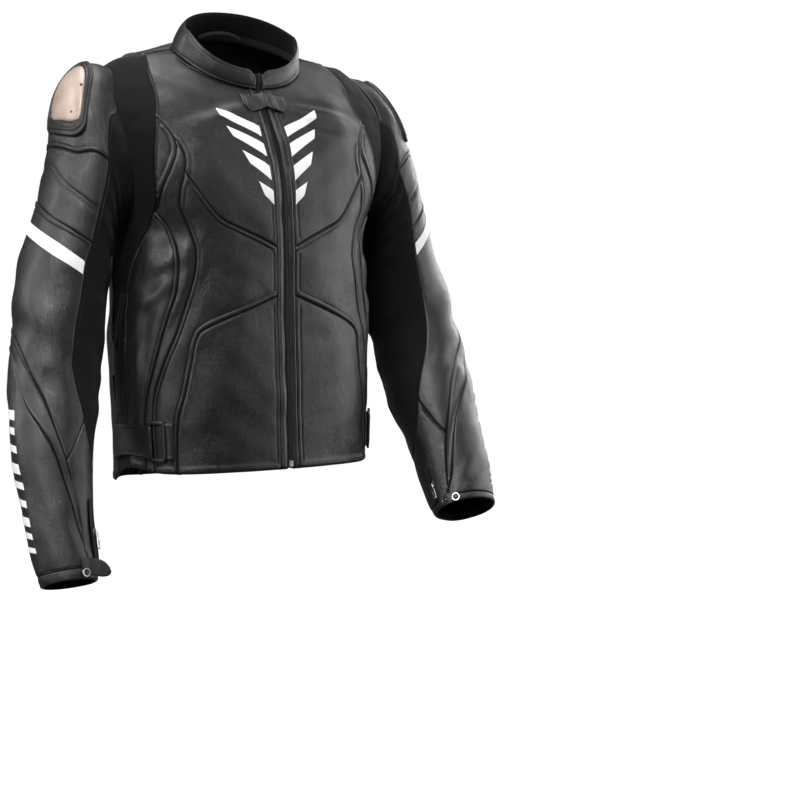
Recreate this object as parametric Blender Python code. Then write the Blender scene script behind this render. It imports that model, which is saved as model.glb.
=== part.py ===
# Motorcycle racing jacket, filled out but empty: hollow cloth pieces cut from one torso form and two sleeve forms.
# Millimetres in the tables, metres in the meshes. +Z is up, the front faces -Y, the wearer's right is at -X.

import math

import bmesh
import bpy
import numpy as np
from mathutils import Vector
from mathutils.geometry import delaunay_2d_cdt

MILLIMETRE = 0.001
RIGHT, LEFT = -1, 1

# Cloth and clearances
HALF_WALL = 1.0          # leather reaches this far to each side of its form
HALF_STRETCH = 0.8       # stretch cloth, likewise
PANEL_PAD = 0.9          # a leather panel swells outward by this much away from its seams
PAD_REACH = 16.0         # distance from the seam over which it swells
SEAM_INSET = 0.16        # each edge stands back by this much, so seams are 0.3 mm open
ON_PANEL = HALF_WALL + PANEL_PAD + 0.3   # height of whatever lies on a panel
ON_STRETCH = HALF_STRETCH + 0.6
BAND_THICK = 1.2         # the white band
PLATE_THICK = 3.4        # the shoulder plate at its edge
PLATE_DOME = 3.0         # how much higher its middle is
RIM_THICK = 4.4          # the rubber rim round it
STRAP_THICK = 2.2        # the waist strap
OVERLAY_INSET = 0.4      # pieces lying on a panel stand back from each other by this much
STEP = 23.0              # spacing of the points in a panel

# Closures
ZIP_HALF = 3.1
PLACKET_INNER = 3.9
PLACKET_OUTER = 14.0
COLLAR_GAP = 4.4
COLLAR_WALL = 3.6
COLLAR_LIFT = 1.6
COLLAR_SWELL = 1.3

# Torso rings from hem to neck seam. The columns are
# z_front, z_side, z_back, half_width, y_front, y_side, y_back, square
TORSO = (
    (-551, -556, -574, 185, -121, 5, 116, 2.35),
    (-468, -470, -474, 189, -118, 4, 114, 2.35),
    (-380, -380, -380, 193, -115, 2, 110, 2.35),
    (-300, -300, -298, 190, -113, 2, 112, 2.40),
    (-228, -226, -222, 186, -112, 4, 118, 2.45),
    (-165, -160, -150, 214, -107, 8, 122, 2.50),
    (-112, -100, -88, 234, -90, 10, 116, 2.50),
    (-76, -45, -30, 230, -72, 12, 102, 2.40),
    (-54, -3, 8, 188, -58, 14, 88, 2.20),
    (-43, 8, 26, 142, -50, 13, 78, 2.05),
    (-36, 12, 41, 96, -45, 11, 68, 2.00),
)
COLLAR_TOP = (-10, 42, 74, 86, -46, -6, 40, 2.2)
TOP_LEVEL = len(TORSO) - 1

# The right side of the hem is drawn up under its strap and hangs lower behind it: degrees, width, rise
HEM_WAVES = ((82, 16, 9), (112, 12, -8))
HEM_WAVE_TOP = 1.3   # the level where they have died out

# Sleeve rings from the armhole down, seen from the front. The columns are
# outer_x, outer_z, inner_x, inner_z, y, half_depth, lean, turn
SLEEVE = {
    RIGHT: (
        (198, -9, 188, -220, 9, 67, 0, 0),
        (228, -8, 195, -221, 12, 72, 0, 0),
        (252, -28, 201, -225, 12, 70, 0, 0),
        (266, -65, 206, -232, 12, 68, 0, 0),
        (277, -110, 209, -241, 12, 67, 0, 0),
        (291, -160, 211, -254, 11, 66, 0, 0),
        (308, -212, 213, -272, 10, 65, 0, 0),
        (328, -266, 216, -295, 8, 64, 2, 0),
        (342, -336, 225, -354, 4, 62, 4, 0),
        (352, -397, 234, -413, -2, 60, 8, 0),
        (361, -453, 246, -467, -14, 58, 14, 0),
        (367, -525, 265, -535, -36, 51, 17, 0),
        (365, -597, 278, -603, -60, 44, 18, 0),
        (360, -653, 281, -657, -78, 41, 18, 0),
        (356, -681, 286, -684, -88, 38, 18, 0),
    ),
    LEFT: (
        (198, -9, 188, -220, 9, 67, 0, 0),
        (225, -15, 195, -221, 12, 72, 0, 0),
        (247, -38, 201, -225, 12, 70, 0, 0),
        (263, -67, 206, -231, 12, 68, 0, 1),
        (278, -99, 208, -239, 12, 67, 0, 1.5),
        (291, -137, 210, -248, 11.5, 66.5, 0, 3),
        (304, -180, 212, -261, 10.5, 65.5, 0, 5),
        (319, -232, 215, -281, 9, 64.5, 1.5, 7.5),
        (343, -315, 225, -336, 2.5, 63.5, 7, 15.5),
        (358, -393, 233, -395, -18, 63, 17, 28.5),
        (354, -463, 229, -457, -52, 60, 26, 40),
        (343, -533, 233, -527, -95, 52, 30, 43),
        (334, -588, 234, -582, -126, 47, 31, 44),
        (329, -614, 233, -606, -142, 43, 32, 45),
        (327, -628, 233, -620, -152, 39, 32, 45),
    ),
}
CUFF_LEVEL = len(SLEEVE[RIGHT]) - 1
ARMHOLE_FADE = (1.0, 0.8, 0.55, 0.3, 0.1)   # how much of the armhole's shape is left in each of the first rings
CUFF_TOP = 13.45

# The armhole on the torso form: its middle, its reach to the front and back, and up and down in levels
ARMHOLE_GAP = (1.0, 1.6)   # how far the sleeve stands off the torso's edge at the top, and how much more below
ARMHOLE = {"angle": 90.0, "front": 33.0, "back": 30.0, "level": 5.95, "reach": 1.85}

ARMHOLE_TURNS = np.linspace(-90, 270, 33)   # the torso and the sleeve share these points

# Flat scale of the two forms: millimetres for each degree and each level
TORSO_SCALE = (3.0, 62.0)
SLEEVE_SCALE = (1.02, 44.0)

# Seams: name, the lines each end runs out on, and points (degrees from the front, level)
TORSO_SEAMS = (
    ("front stretch seam", None, "hem", (
        (95, 8.98), (78, 8.75), (60, 8.2), (47, 7.5), (43, 6.8), (45, 6.0), (50, 5.25), (55, 4.6),
        (65, 4.08), (75, 3.6), (82, 2.9), (83, 1.8), (84, 0.8), (84, -0.1))),
    ("back stretch seam", None, "hem", (
        (95, 8.98), (112, 8.7), (128, 7.9), (134, 7.0), (133, 6.0), (128, 5.1), (119, 4.4), (108, 3.7),
        (101, 2.9), (99, 1.8), (98, 0.8), (98, -0.1))),
    ("armhole piece seam", "front stretch seam", "front stretch seam", (
        (46, 7.05), (40, 6.55), (37, 6.1), (38, 5.7), (43, 5.25), (49, 4.85), (56, 4.42), (60, 4.3))),
    ("inner band seam", "armhole piece seam", "hem", (
        (39, 6.3), (36, 5.95), (35.5, 5.6), (38, 5.2), (43, 4.7), (45, 4.4), (43.5, 4.0), (41, 3.6),
        (41, 3.2), (43.5, 2.8), (49, 2.2), (56, 1.7), (62, 1.25), (64, 0.8), (64.5, -0.1))),
    ("outer band seam", "front stretch seam", "hem", (
        (62, 4.5), (56, 4.25), (51.5, 3.85), (48.5, 3.4), (49, 2.9), (52, 2.55), (56.5, 2.1), (62, 1.6),
        (67, 1.2), (69.5, 0.8), (70, -0.1))),
    ("chest seam", "inner band seam", "placket seam", (
        (40, 5.6), (35, 4.9), (33, 4.6), (29, 4.25), (21, 4.05), (12, 3.86), (1, 3.6))),
    ("lower seam", "placket seam", "hem", (
        (1, 2.86), (10, 2.7), (22, 2.5), (36, 2.26), (40, 2.08), (42.5, 1.7), (46, 1.25), (50, 0.8),
        (52, -0.1))),
    ("yoke seam", "back stretch seam", "back centre", (
        (126, 6.75), (140, 6.85), (155, 6.6), (170, 6.25), (185, 6.1))),
    ("back panel seam", "yoke seam", "hem", (
        (150, 7.1), (149, 6.2), (145, 5.2), (143, 4.2), (146, 3.2), (149, 2.2), (148, 1.2), (146, -0.1))),
)

# Torso pieces of one side: name, a place inside, stretch cloth or not
TORSO_PIECES = (
    ("zip_placket", (2.6, 5.0), False),
    ("front_chest", (20, 6.5), False),
    ("front_armhole", (44.5, 5.6), False),
    ("front_band", (45, 3.0), False),
    ("front_middle", (25, 3.2), False),
    ("front_lower", (25, 1.5), False),
    ("front_side", (72, 2.0), False),
    ("side_stretch", (90, 2.5), True),
    ("back_side", (125, 3.0), False),
)
BACK_PIECES = (
    ("back_yoke", (165, 8.0), False),
    ("back_centre", (165, 3.0), False),
)

SLEEVE_SEAMS = (
    ("inner stretch seam", None, "back seam end", (
        (67.5, 0), (71, 0.8), (83, 1.8), (92, 2.7), (90, 3.6), (85, 5.0), (86.5, 6.3), (86, 7.3),
        (83, 8.2), (84, 8.9),
        (90, 9.6), (106, 10.3), (128, 10.85), (165, 11.2), (215, 11.1), (272, 10.6))),
    ("cap seam", "back seam", "inner stretch seam", (
        (-92, 2.9), (-55, 3.75), (-14, 4.12), (20, 4.15), (45, 3.9), (84, 2.75), (104, 2.1))),
    ("upper seam", "back seam", "inner stretch seam", (
        (-92, 4.7), (-55, 5.15), (-20, 5.55), (12, 5.82), (40, 5.97), (95, 6.12))),
    ("strip upper seam", "back seam", "strip lower seam", (
        (-92, 7.9), (-50, 8.1), (-20, 8.35), (6, 8.68), (26, 9.2), (46, 9.85), (64, 10.5), (82, 11.15),
        (95, 11.85), (100, 12.5), (100, 13.2))),
    ("elbow seam", "strip upper seam", "inner stretch seam", ((74, 11.2), (90, 10.9), (112, 10.2))),
)
STRIP_LOWER = ("strip lower seam", "back seam", "cuff seam", (
    (-92, 8.45), (-50, 8.6), (-20, 8.8), (4, 9.25), (22, 10.0), (42, 10.45), (62, 10.9), (77, 11.5),
    (90, 12.2), (100, 12.8), (105, 13.6)))

SLEEVE_PIECES = (
    ("sleeve_cap", (60, 1.2), False),
    ("sleeve_upper", (0, 4.8), False),
    ("sleeve_elbow", (40, 8.5), False),
    ("forearm_strip", (30, 9.7), False),
    ("forearm_outer", (0, 11.5), False),
    ("forearm_inner", (190, 12.4), False),
    ("sleeve_stretch", (180, 6.0), True),
)

# Outlines of what lies on the sleeve and the torso: closed rows of points (degrees, level)
WHITE_BAND = ((-88, 5.33), (-52, 5.72), (-18, 6.08), (14, 6.3), (46, 6.52), (82.5, 6.8),
              (83, 7.14), (46, 6.88), (14, 6.62), (-18, 6.38), (-52, 6.03), (-88, 5.66))
CUP_PLATE = ((0, 1.35), (22, 1.6), (36, 2.2), (38, 2.85), (24, 3.3), (2, 3.42), (-20, 3.3), (-36, 2.85),
             (-36, 2.2), (-22, 1.6))
CUP_RIM = ((0, 1.0), (28, 1.2), (46, 1.95), (50, 2.9), (34, 3.62), (4, 3.85), (-28, 3.62), (-48, 2.9),
           (-46, 1.95), (-28, 1.2))
PLATE_MIDDLE = (0, 2.6)
WAIST_STRAP = ((50, 0.27), (100, 0.27), (100, 0.86), (50, 0.86))


# Left, right, lower and upper edge of the waist buckle; its bar's lower and upper height and its width
BUCKLE = (57.5, 66.0, 0.2, 0.93)
BUCKLE_BAR = (ON_PANEL + 2.6, ON_PANEL + 6.0, 5.5)

# Short zips: the line of each chain, its heights with and without the slider, and where the slider stands
POCKET = ((85.5, 2.85), (89, 2.5), (91.5, 2.1), (93, 1.75), (93.5, 1.3), (93.5, 0.95))
POCKET_SLIDER = 0.42
CUFF_ZIP = ((126, 11.75), (126, 12.3), (126, 12.9), (126, 13.4))
CUFF_SLIDER = 0.5
ZIP_ON_PANEL = (ON_PANEL + 1.4, ON_PANEL + 3.6)
SLIDER_LENGTH = 10.0
CHAIN_WIDTH = {"pocket": 8.0, "cuff": 7.0}
PULL_LENGTH = {"pocket": 42.0, "cuff": 22.0}
PULL_WIDTH = 6.5
PULL_THICK = 1.5
PULL_HEIGHT = ON_PANEL + 5.3
CUFF_TAB = ((84, 122), (13.5, 13.9), (ON_STRETCH, ON_STRETCH + 2.4))


# Forms

def along_rows(table, place):
    """A Catmull-Rom spline through the rows of a table, the place being counted in rows."""
    table = np.asarray(table, float)
    place = np.asarray(place, float)
    last = len(table) - 1
    k = np.clip(np.floor(place).astype(int), 0, last - 1)
    t = (place - k)[..., None]
    here, after = table[k], table[k + 1]
    before = np.where((k > 0)[..., None], table[np.maximum(k - 1, 0)], 2 * here - after)
    beyond = np.where((k < last - 1)[..., None], table[np.minimum(k + 2, last)], 2 * after - here)
    return spline(before, here, after, beyond, t)


def spline(before, here, after, beyond, t):
    """The Catmull-Rom weights for t from 0 at 'here' to 1 at 'after'."""
    return 0.5 * (2 * here + (after - before) * t + (2 * before - 5 * here + 4 * after - beyond) * t ** 2
                  + (3 * here - before - 3 * after + beyond) * t ** 3)


def ring_point(ring, angle, side):
    """A squared oval: equal to 1 is |x/a|^n + |y/b|^n; heights follow the depth, so the ring tilts."""
    z_front, z_side, z_back, half_width, y_front, y_side, y_back, square = np.moveaxis(ring, -1, 0)
    a = np.radians(angle)
    s, c = np.sin(a), np.cos(a)
    k = (np.abs(s) ** square + np.abs(c) ** square) ** (-1 / square)
    x = side * half_width * s * k
    y = y_side + np.where(c > 0, y_front - y_side, y_back - y_side) * np.abs(c) * k
    z = z_side + np.where(c > 0, z_front - z_side, z_back - z_side) * (np.abs(c) * k) ** 1.2
    return np.stack([x, y, z], -1)


def torso_form(place, side):
    """The torso at (degrees from the front, level)."""
    point = ring_point(along_rows(TORSO, place[..., 1]), place[..., 0], side)
    if side == RIGHT:
        for middle, width, rise in HEM_WAVES:
            fade = np.clip(1 - place[..., 1] / HEM_WAVE_TOP, 0, None) ** 2
            point[..., 2] += rise * fade * np.exp(-((place[..., 0] - middle) / width) ** 2)
    return point


def armhole_place(turn):
    """Where the armhole runs on the torso form; turn 0 is its top, 90 its front."""
    a = np.radians(turn)
    s, c = np.sin(a), np.cos(a)
    angle = ARMHOLE["angle"] - np.where(s > 0, ARMHOLE["front"], ARMHOLE["back"]) * s
    return np.stack([angle, ARMHOLE["level"] + ARMHOLE["reach"] * c], -1)


def sleeve_ring(ring, turn, side):
    """An oval between the outer and the inner edge point, its depth leaning down to the front."""
    outer_x, outer_z, inner_x, inner_z, y, half_depth, lean, twist = np.moveaxis(ring, -1, 0)
    zero = np.zeros_like(outer_x)
    outer = np.stack([outer_x * side, y, outer_z], -1)
    inner = np.stack([inner_x * side, y, inner_z], -1)
    half = (outer - inner) / 2
    length = np.linalg.norm(half, axis=-1, keepdims=True)
    down = np.stack([side * half[..., 2], zero, -side * half[..., 0]], -1) / length
    lean = np.radians(lean)[..., None]
    front = np.cos(lean) * np.array([0.0, -1.0, 0.0]) - np.sin(lean) * down
    a = np.radians(turn + twist)[..., None]
    return (outer + inner) / 2 + np.cos(a) * half + half_depth[..., None] * np.sin(a) * front


def sleeve_form(place, side):
    """The sleeve at (degrees from outer side to front, level); it starts as the armhole and turns oval."""
    turn, level = place[..., 0], place[..., 1]
    table = np.asarray(SLEEVE[side], float)
    last = len(table) - 1
    fade = np.zeros(len(table))
    fade[:len(ARMHOLE_FADE)] = ARMHOLE_FADE
    k = np.clip(np.floor(level).astype(int), 0, last - 1)
    t = (level - k)[..., None]
    clear = ARMHOLE_GAP[0] + ARMHOLE_GAP[1] * ((1 - np.cos(np.radians(turn))) / 2) ** 1.5
    armhole = torso_form(armhole_place(turn), side) + clear[..., None] * np.array([side, 0, 0])
    shape = armhole - sleeve_ring(np.broadcast_to(table[0], (*turn.shape, 8)), turn, side)

    def ring(i):
        i = np.clip(i, 0, last)
        return sleeve_ring(table[i], turn, side) + fade[i][..., None] * shape

    here, after = ring(k), ring(k + 1)
    before = np.where((k > 0)[..., None], ring(k - 1), 2 * here - after)
    beyond = np.where((k < last - 1)[..., None], ring(k + 2), 2 * after - here)
    return spline(before, here, after, beyond, t)


def normals(form, place, side):
    """Outward normals of a form, from its slopes along degrees and levels."""
    by_angle = form(place + [0.6, 0], side) - form(place - [0.6, 0], side)
    by_level = form(place + [0, 0.02], side) - form(place - [0, 0.02], side)
    n = np.cross(by_angle, by_level) * side
    return n / np.linalg.norm(n, axis=-1, keepdims=True)


# Pattern cutting on the flat

def resampled(points, step, smooth=True, closed=False):
    """Points about one step apart on a line through the given ones."""
    points = np.asarray(points, float)
    if closed:
        points = np.vstack([points, points[:1]])
    if smooth:
        points = along_rows(points, np.linspace(0, len(points) - 1, 24 * len(points)))
        return by_length(points, step)
    parts = [by_length(points[i:i + 2], step)[:-1] for i in range(len(points) - 1)]
    return np.vstack(parts + [points[-1:]])


def by_length(points, step):
    """The same line with even spacing."""
    run = np.concatenate([[0], np.cumsum(np.linalg.norm(np.diff(points, axis=0), axis=1))])
    count = max(1, round(run[-1] / step))
    even = np.linspace(0, run[-1], count + 1)
    return np.stack([np.interp(even, run, points[:, i]) for i in range(2)], -1)


def crossing(line, other):
    """The first place where a line meets another, as (place along the line, point), or nothing."""
    for i in range(len(line) - 1):
        a, d = line[i], line[i + 1] - line[i]
        best = None
        for j in range(len(other) - 1):
            c, e = other[j], other[j + 1] - other[j]
            turn = d[0] * e[1] - d[1] * e[0]
            if abs(turn) < 1e-9:
                continue
            t = ((c - a)[0] * e[1] - (c - a)[1] * e[0]) / turn
            u = ((c - a)[0] * d[1] - (c - a)[1] * d[0]) / turn
            if 0 <= t <= 1 and 0 <= u <= 1 and (best is None or t < best):
                best = t
        if best is not None:
            return i, a + best * d
    return None


def trimmed(line, start, end):
    """The part of a dense line between its crossings with the start line and the end line."""
    found = crossing(line, start) if start is not None else None
    if found:
        line = np.vstack([found[1], line[found[0] + 1:]])
    found = crossing(line[::-1][:-1], end)
    if found:
        line = np.vstack([found[1], line[::-1][found[0] + 1:]])[::-1]
    return line


def cut(borders, seams, outlines, scale):
    """Cuts the flat into triangles that follow every line; gives points, triangles and their regions."""
    lines = {name: resampled(np.array(points) * scale, STEP, smooth) for name, smooth, points in borders}
    for name, start, end, points in seams:
        dense = np.array(points, float) * scale
        dense = along_rows(dense, np.linspace(0, len(dense) - 1, 40 * len(dense)))
        lines[name] = by_length(trimmed(dense, lines.get(start), lines[end]), STEP)
    sewn = set(lines)
    for name, smooth, points in outlines:
        lines[name] = resampled(np.array(points) * scale, STEP * 0.7, smooth, True)

    verts, edges, owner = [], [], []
    for name, line in lines.items():
        first = len(verts)
        count = len(line) - 1
        verts += [tuple(p) for p in line]
        edges += [(first + i, first + i + 1) for i in range(count)]
        owner += [name in sewn] * count
    verts, edges = merged(verts, edges)
    fixed = np.vstack([by_length(line, 5.0) for line in lines.values()])
    low, high = fixed.min(0), fixed.max(0)
    across = np.arange(low[0], high[0], STEP)
    inside = []
    for row, y in enumerate(np.arange(low[1] + STEP / 2, high[1], STEP * 0.87)):
        for x in across + (row % 2) * STEP / 2:
            if np.min(np.hypot(*(fixed - (x, y)).T)) > STEP * 0.5:
                inside.append((x, y))
    verts += inside
    out = delaunay_2d_cdt([Vector(v) for v in verts], edges, [], 0, 1e-4)
    points = np.array([tuple(v) for v in out[0]])
    tris = np.array(out[2])
    walls, marks = set(), set()
    for edge, sources in zip(out[1], out[4]):
        for source in sources:
            (walls if owner[source] else marks).add(tuple(sorted(edge)))
    return points / scale, tris, joined(tris, walls), joined(tris, marks)


def merged(verts, edges):
    """The same lines with points that coincide made into one."""
    number, kept, place = {}, [], []
    for v in verts:
        key = (round(v[0], 3), round(v[1], 3))
        if key not in number:
            number[key] = len(kept)
            kept.append(v)
        place.append(number[key])
    return kept, [(place[a], place[b]) for a, b in edges]


def joined(tris, walls):
    """A number for each triangle, shared by those with no line between them."""
    by_edge = {}
    for t, tri in enumerate(tris):
        for i in range(3):
            by_edge.setdefault(tuple(sorted((int(tri[i]), int(tri[(i + 1) % 3])))), []).append(t)
    group = -np.ones(len(tris), int)
    for seed in range(len(tris)):
        if group[seed] >= 0:
            continue
        group[seed] = seed
        front = [seed]
        while front:
            tri = tris[front.pop()]
            for i in range(3):
                edge = tuple(sorted((int(tri[i]), int(tri[(i + 1) % 3]))))
                if edge in walls:
                    continue
                for t in by_edge[edge]:
                    if group[t] < 0:
                        group[t] = seed
                        front.append(t)
    return group


def triangles_at(place, flat, marked=False):
    """The triangles of the region that holds a place: between seams, or inside a marked outline."""
    points, tris, sewn, outlined = flat
    group = outlined if marked else sewn
    a, b, c = (points[tris[:, i]] for i in range(3))
    p = np.array(place, float)

    def turn(u, v):
        return (v[:, 0] - u[:, 0]) * (p[1] - u[:, 1]) - (v[:, 1] - u[:, 1]) * (p[0] - u[:, 0])

    signs = np.stack([turn(a, b), turn(b, c), turn(c, a)], -1)
    inside = np.flatnonzero(np.all(signs >= 0, 1) | np.all(signs <= 0, 1))
    return tris[group == group[inside[0]]]


# Solids

def edge_runs(tris):
    """The directed edges with a triangle on one side only."""
    directed = {}
    for tri in tris:
        for i in range(3):
            directed[(int(tri[i]), int(tri[(i + 1) % 3]))] = True
    return [e for e in directed if (e[1], e[0]) not in directed]


def cloth(name, points, norms, tris, low, high, material, inset=SEAM_INSET):
    """A closed wall from 'low' to 'high' above the form, its edges set back from the seam."""
    facing = np.cross(points[tris[:, 1]] - points[tris[:, 0]], points[tris[:, 2]] - points[tris[:, 0]])
    if np.sum(facing * norms[tris[:, 0]]) < 0:
        tris = tris[:, ::-1]
    used, back = np.unique(tris, return_inverse=True)
    tris = back.reshape(tris.shape)
    low, high = (np.broadcast_to(height, len(points))[used] for height in (low, high))
    points, norms = points[used], norms[used]
    rim = edge_runs(tris)
    pull = np.zeros_like(points)
    weight = {}
    for i, j in rim:
        along = points[j] - points[i]
        for k in (i, j):
            inward = np.cross(norms[k], along)
            inward /= np.linalg.norm(inward)
            weight.setdefault(k, []).append(inward)
    for k, sides in weight.items():
        middle = np.sum(sides, 0)
        pull[k] = middle / max(1 + float(np.dot(sides[0], sides[-1])), 0.35) * inset
    points = points + pull
    count = len(points)
    verts = np.vstack([points + norms * high[:, None], points + norms * low[:, None]])
    faces = [tuple(int(i) for i in tri) for tri in tris]
    faces += [tuple(int(i) + count for i in tri[::-1]) for tri in tris]
    for i, j in rim:
        faces += [(j, i, i + count), (j, i + count, j + count)]
    return solid(name, verts, faces, material)


def solid(name, verts, faces, material, origin=None, smooth_angle=35.0):
    """A mesh object in metres, its origin where its joint axis is when it has one."""
    origin = np.zeros(3) if origin is None else np.asarray(origin, float)
    mesh = bpy.data.meshes.new(name)
    mesh.from_pydata([tuple((np.asarray(v) - origin) * MILLIMETRE) for v in verts], [], faces)
    tidy = bmesh.new()
    tidy.from_mesh(mesh)
    bmesh.ops.recalc_face_normals(tidy, faces=tidy.faces)
    for face in tidy.faces:
        face.smooth = True
    for edge in tidy.edges:
        edge.smooth = edge.calc_face_angle(0.0) < math.radians(smooth_angle)
    tidy.to_mesh(mesh)
    tidy.free()
    obj = bpy.data.objects.new(name, mesh)
    obj.location = Vector(origin * MILLIMETRE)
    bpy.context.scene.collection.objects.link(obj)
    mesh.materials.append(finish(name, material))
    return obj


FINISHES = {
    "leather": ((0.018, 0.018, 0.020), 0.0, 0.42),
    "stretch": ((0.006, 0.006, 0.007), 0.0, 0.85),
    "white leather": ((0.85, 0.85, 0.85), 0.0, 0.45),
    "rubber": ((0.012, 0.012, 0.012), 0.0, 0.6),
    "plate": ((0.62, 0.50, 0.45), 0.9, 0.28),
    "zip": ((0.03, 0.03, 0.032), 0.6, 0.4),
    "metal": ((0.35, 0.34, 0.34), 1.0, 0.3),
    "plastic": ((0.015, 0.015, 0.015), 0.0, 0.4),
}


def finish(name, kind):
    """A Principled material of its own for each piece."""
    colour, metallic, roughness = FINISHES[kind]
    made = bpy.data.materials.new(name + " " + kind)
    made.use_nodes = True
    shader = made.node_tree.nodes["Principled BSDF"]
    shader.inputs["Base Color"].default_value = (*colour, 1.0)
    shader.inputs["Metallic"].default_value = metallic
    shader.inputs["Roughness"].default_value = roughness
    made.diffuse_color = (*[c ** 0.5 for c in colour], 1.0)
    return made


def padding(places, rim, scale):
    """How far a panel swells at each place: nothing on its edge, the full amount away from it."""
    flat = places * scale
    ends = flat[np.array(rim)]
    edge = np.concatenate([ends[:, 0] * (1 - t) + ends[:, 1] * t for t in (0, 0.25, 0.5, 0.75)])
    away = np.min(np.hypot(*(flat[:, None] - edge[None]).transpose(2, 0, 1)), 1)
    return PANEL_PAD * (1 - np.exp(-(away / PAD_REACH) ** 2))


def panel(name, flat, place, form, side, stretch, scale):
    """One piece of the pattern on its form."""
    places = flat[0]
    chosen = triangles_at(place, flat)
    points, norms = form(places, side), normals(form, places, side)
    if stretch:
        return cloth(name, points, norms, chosen, -HALF_STRETCH, HALF_STRETCH, "stretch")
    swell = padding(places, edge_runs(chosen), scale)
    return cloth(name, points, norms, chosen, -HALF_WALL, HALF_WALL + swell, "leather")


def centre_panel(name, flat, place):
    """A piece across the middle of the back: one half and its mirror image, joined at the centre line."""
    places = flat[0]
    half = triangles_at(place, flat)
    on_centre = places[:, 0] > 179.9
    rim = [e for e in edge_runs(half) if not (on_centre[e[0]] and on_centre[e[1]])]
    swell = padding(places, rim, TORSO_SCALE)
    points, norms = torso_form(places, LEFT), normals(torso_form, places, LEFT)
    points[on_centre, 0] = 0
    norms[on_centre, 0] = 0
    mirror = np.where(on_centre, np.arange(len(places)), np.arange(len(places)) + len(places))
    both = np.vstack([half, mirror[half][:, ::-1]])
    flip = np.array([-1.0, 1.0, 1.0])
    return cloth(name, np.vstack([points, points * flip]), np.vstack([norms, norms * flip]), both,
                 -HALF_WALL, HALF_WALL + np.concatenate([swell, swell]), "leather")


def overlay(name, flat, place, form, side, low, high, material, dome=0.0, hole=None):
    """A piece lying on the panels: their own points moved out, highest in its middle if it is domed."""
    places = flat[0]
    chosen = triangles_at(place, flat, True)
    if hole is not None:
        middle = {tuple(t) for t in triangles_at(hole, flat, True)}
        chosen = np.array([t for t in chosen if tuple(t) not in middle])
    points, norms = form(places, side), normals(form, places, side)
    top = np.full(len(points), float(high))
    if dome:
        used = np.unique(chosen)
        away = np.linalg.norm(points[used] - points[used].mean(0), axis=1)
        top[used] += dome * (1 - (away / away.max()) ** 2)
    return cloth(name, points, norms, chosen, low, top, material, OVERLAY_INSET)


def sweep(name, centres, norms, sections, material, origin=None):
    """A closed bar: at each centre a section of (sideways, outward) points, the ends capped."""
    centres, norms = np.asarray(centres, float), np.asarray(norms, float)
    along = np.gradient(centres, axis=0)
    along /= np.linalg.norm(along, axis=1, keepdims=True)
    sideways = np.cross(along, norms)
    sideways /= np.linalg.norm(sideways, axis=1, keepdims=True)
    verts, faces = [], []
    size = len(sections[0])
    for c, s, n, section in zip(centres, sideways, norms, sections):
        verts += [c + s * a + n * b for a, b in section]
    for i in range(len(centres) - 1):
        for j in range(size):
            a, b = i * size + j, i * size + (j + 1) % size
            faces.append((a, b, b + size, a + size))
    faces.append(tuple(range(size))[::-1])
    faces.append(tuple(range((len(centres) - 1) * size, len(centres) * size)))
    return solid(name, verts, faces, material, origin)


def bar_section(width, low, high):
    """A flat bar with softened upper corners."""
    half, soft = width / 2, min(width, high - low) * 0.22
    top = high - soft
    return ((-half, low), (half, low), (half, top), (half - soft, high), (-half + soft, high), (-half, top))


# Pieces

def torso_flat():
    """The torso pattern of one side, the armhole left out."""
    levels = np.linspace(0, TOP_LEVEL, 22)
    widths = along_rows(TORSO, levels)[:, 3]
    inner = np.degrees(np.arcsin(PLACKET_INNER / widths))
    outer = np.degrees(np.arcsin(PLACKET_OUTER / widths))
    borders = (
        ("hem", False, ((inner[0], 0), (180, 0))),
        ("neck", False, ((inner[-1], TOP_LEVEL), (180, TOP_LEVEL))),
        ("front edge", True, tuple(zip(inner, levels))),
        ("placket seam", True, tuple(zip(outer, levels))),
        ("back centre", False, ((180, 0), (180, TOP_LEVEL))),
        ("shoulder", False, ((95, 8.98), (102, 9.3), (108, TOP_LEVEL))),
        ("armhole", False, tuple(map(tuple, armhole_place(ARMHOLE_TURNS)))),
    )
    outlines = (("waist strap", False, WAIST_STRAP),)
    return cut(borders, TORSO_SEAMS, outlines, TORSO_SCALE)


def sleeve_flat():
    """The sleeve pattern, opened along its back seam."""
    borders = (
        ("armhole", False, tuple((turn, 0) for turn in ARMHOLE_TURNS)),
        ("cuff seam", False, ((-90, CUFF_TOP), (270, CUFF_TOP))),
        ("cuff", False, ((-90, CUFF_LEVEL), (270, CUFF_LEVEL))),
        ("back seam", False, ((-90, 0), (-90, CUFF_LEVEL))),
        ("back seam end", False, ((270, 0), (270, CUFF_LEVEL))),
    )
    outlines = (("white band", False, WHITE_BAND), ("cup plate", True, CUP_PLATE), ("cup rim", True, CUP_RIM))
    seams = (SLEEVE_SEAMS[0], STRIP_LOWER) + SLEEVE_SEAMS[1:]
    return cut(borders, seams, outlines, SLEEVE_SCALE)


def front_zip():
    """The closed chain and its tape, from the hem up through the gap of the collar."""
    levels = np.linspace(0.02, TOP_LEVEL, 27)
    place = np.stack([0 * levels, levels], -1)
    centres = torso_form(place, LEFT)
    norms = normals(torso_form, place, LEFT)
    centres[:, 0] = 0
    norms[:, 0] = 0
    top = np.array([[0.0, COLLAR_TOP[4] - 0.5, COLLAR_TOP[0] - 3.0]])
    centres = np.vstack([centres, (centres[-1:] + top) / 2 + [0, -1.2, 0], top])
    norms = np.vstack([norms, [[0, -0.99, 0.12]], [[0, -0.99, 0.12]]])
    norms[-5:-2] = [[0, -0.85, 0.52], [0, -0.93, 0.36], [0, -0.98, 0.2]]
    norms /= np.linalg.norm(norms, axis=1, keepdims=True)
    return sweep("front_zip", centres, norms, [bar_section(2 * ZIP_HALF, -1.4, 1.5)] * len(centres), "zip")


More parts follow.
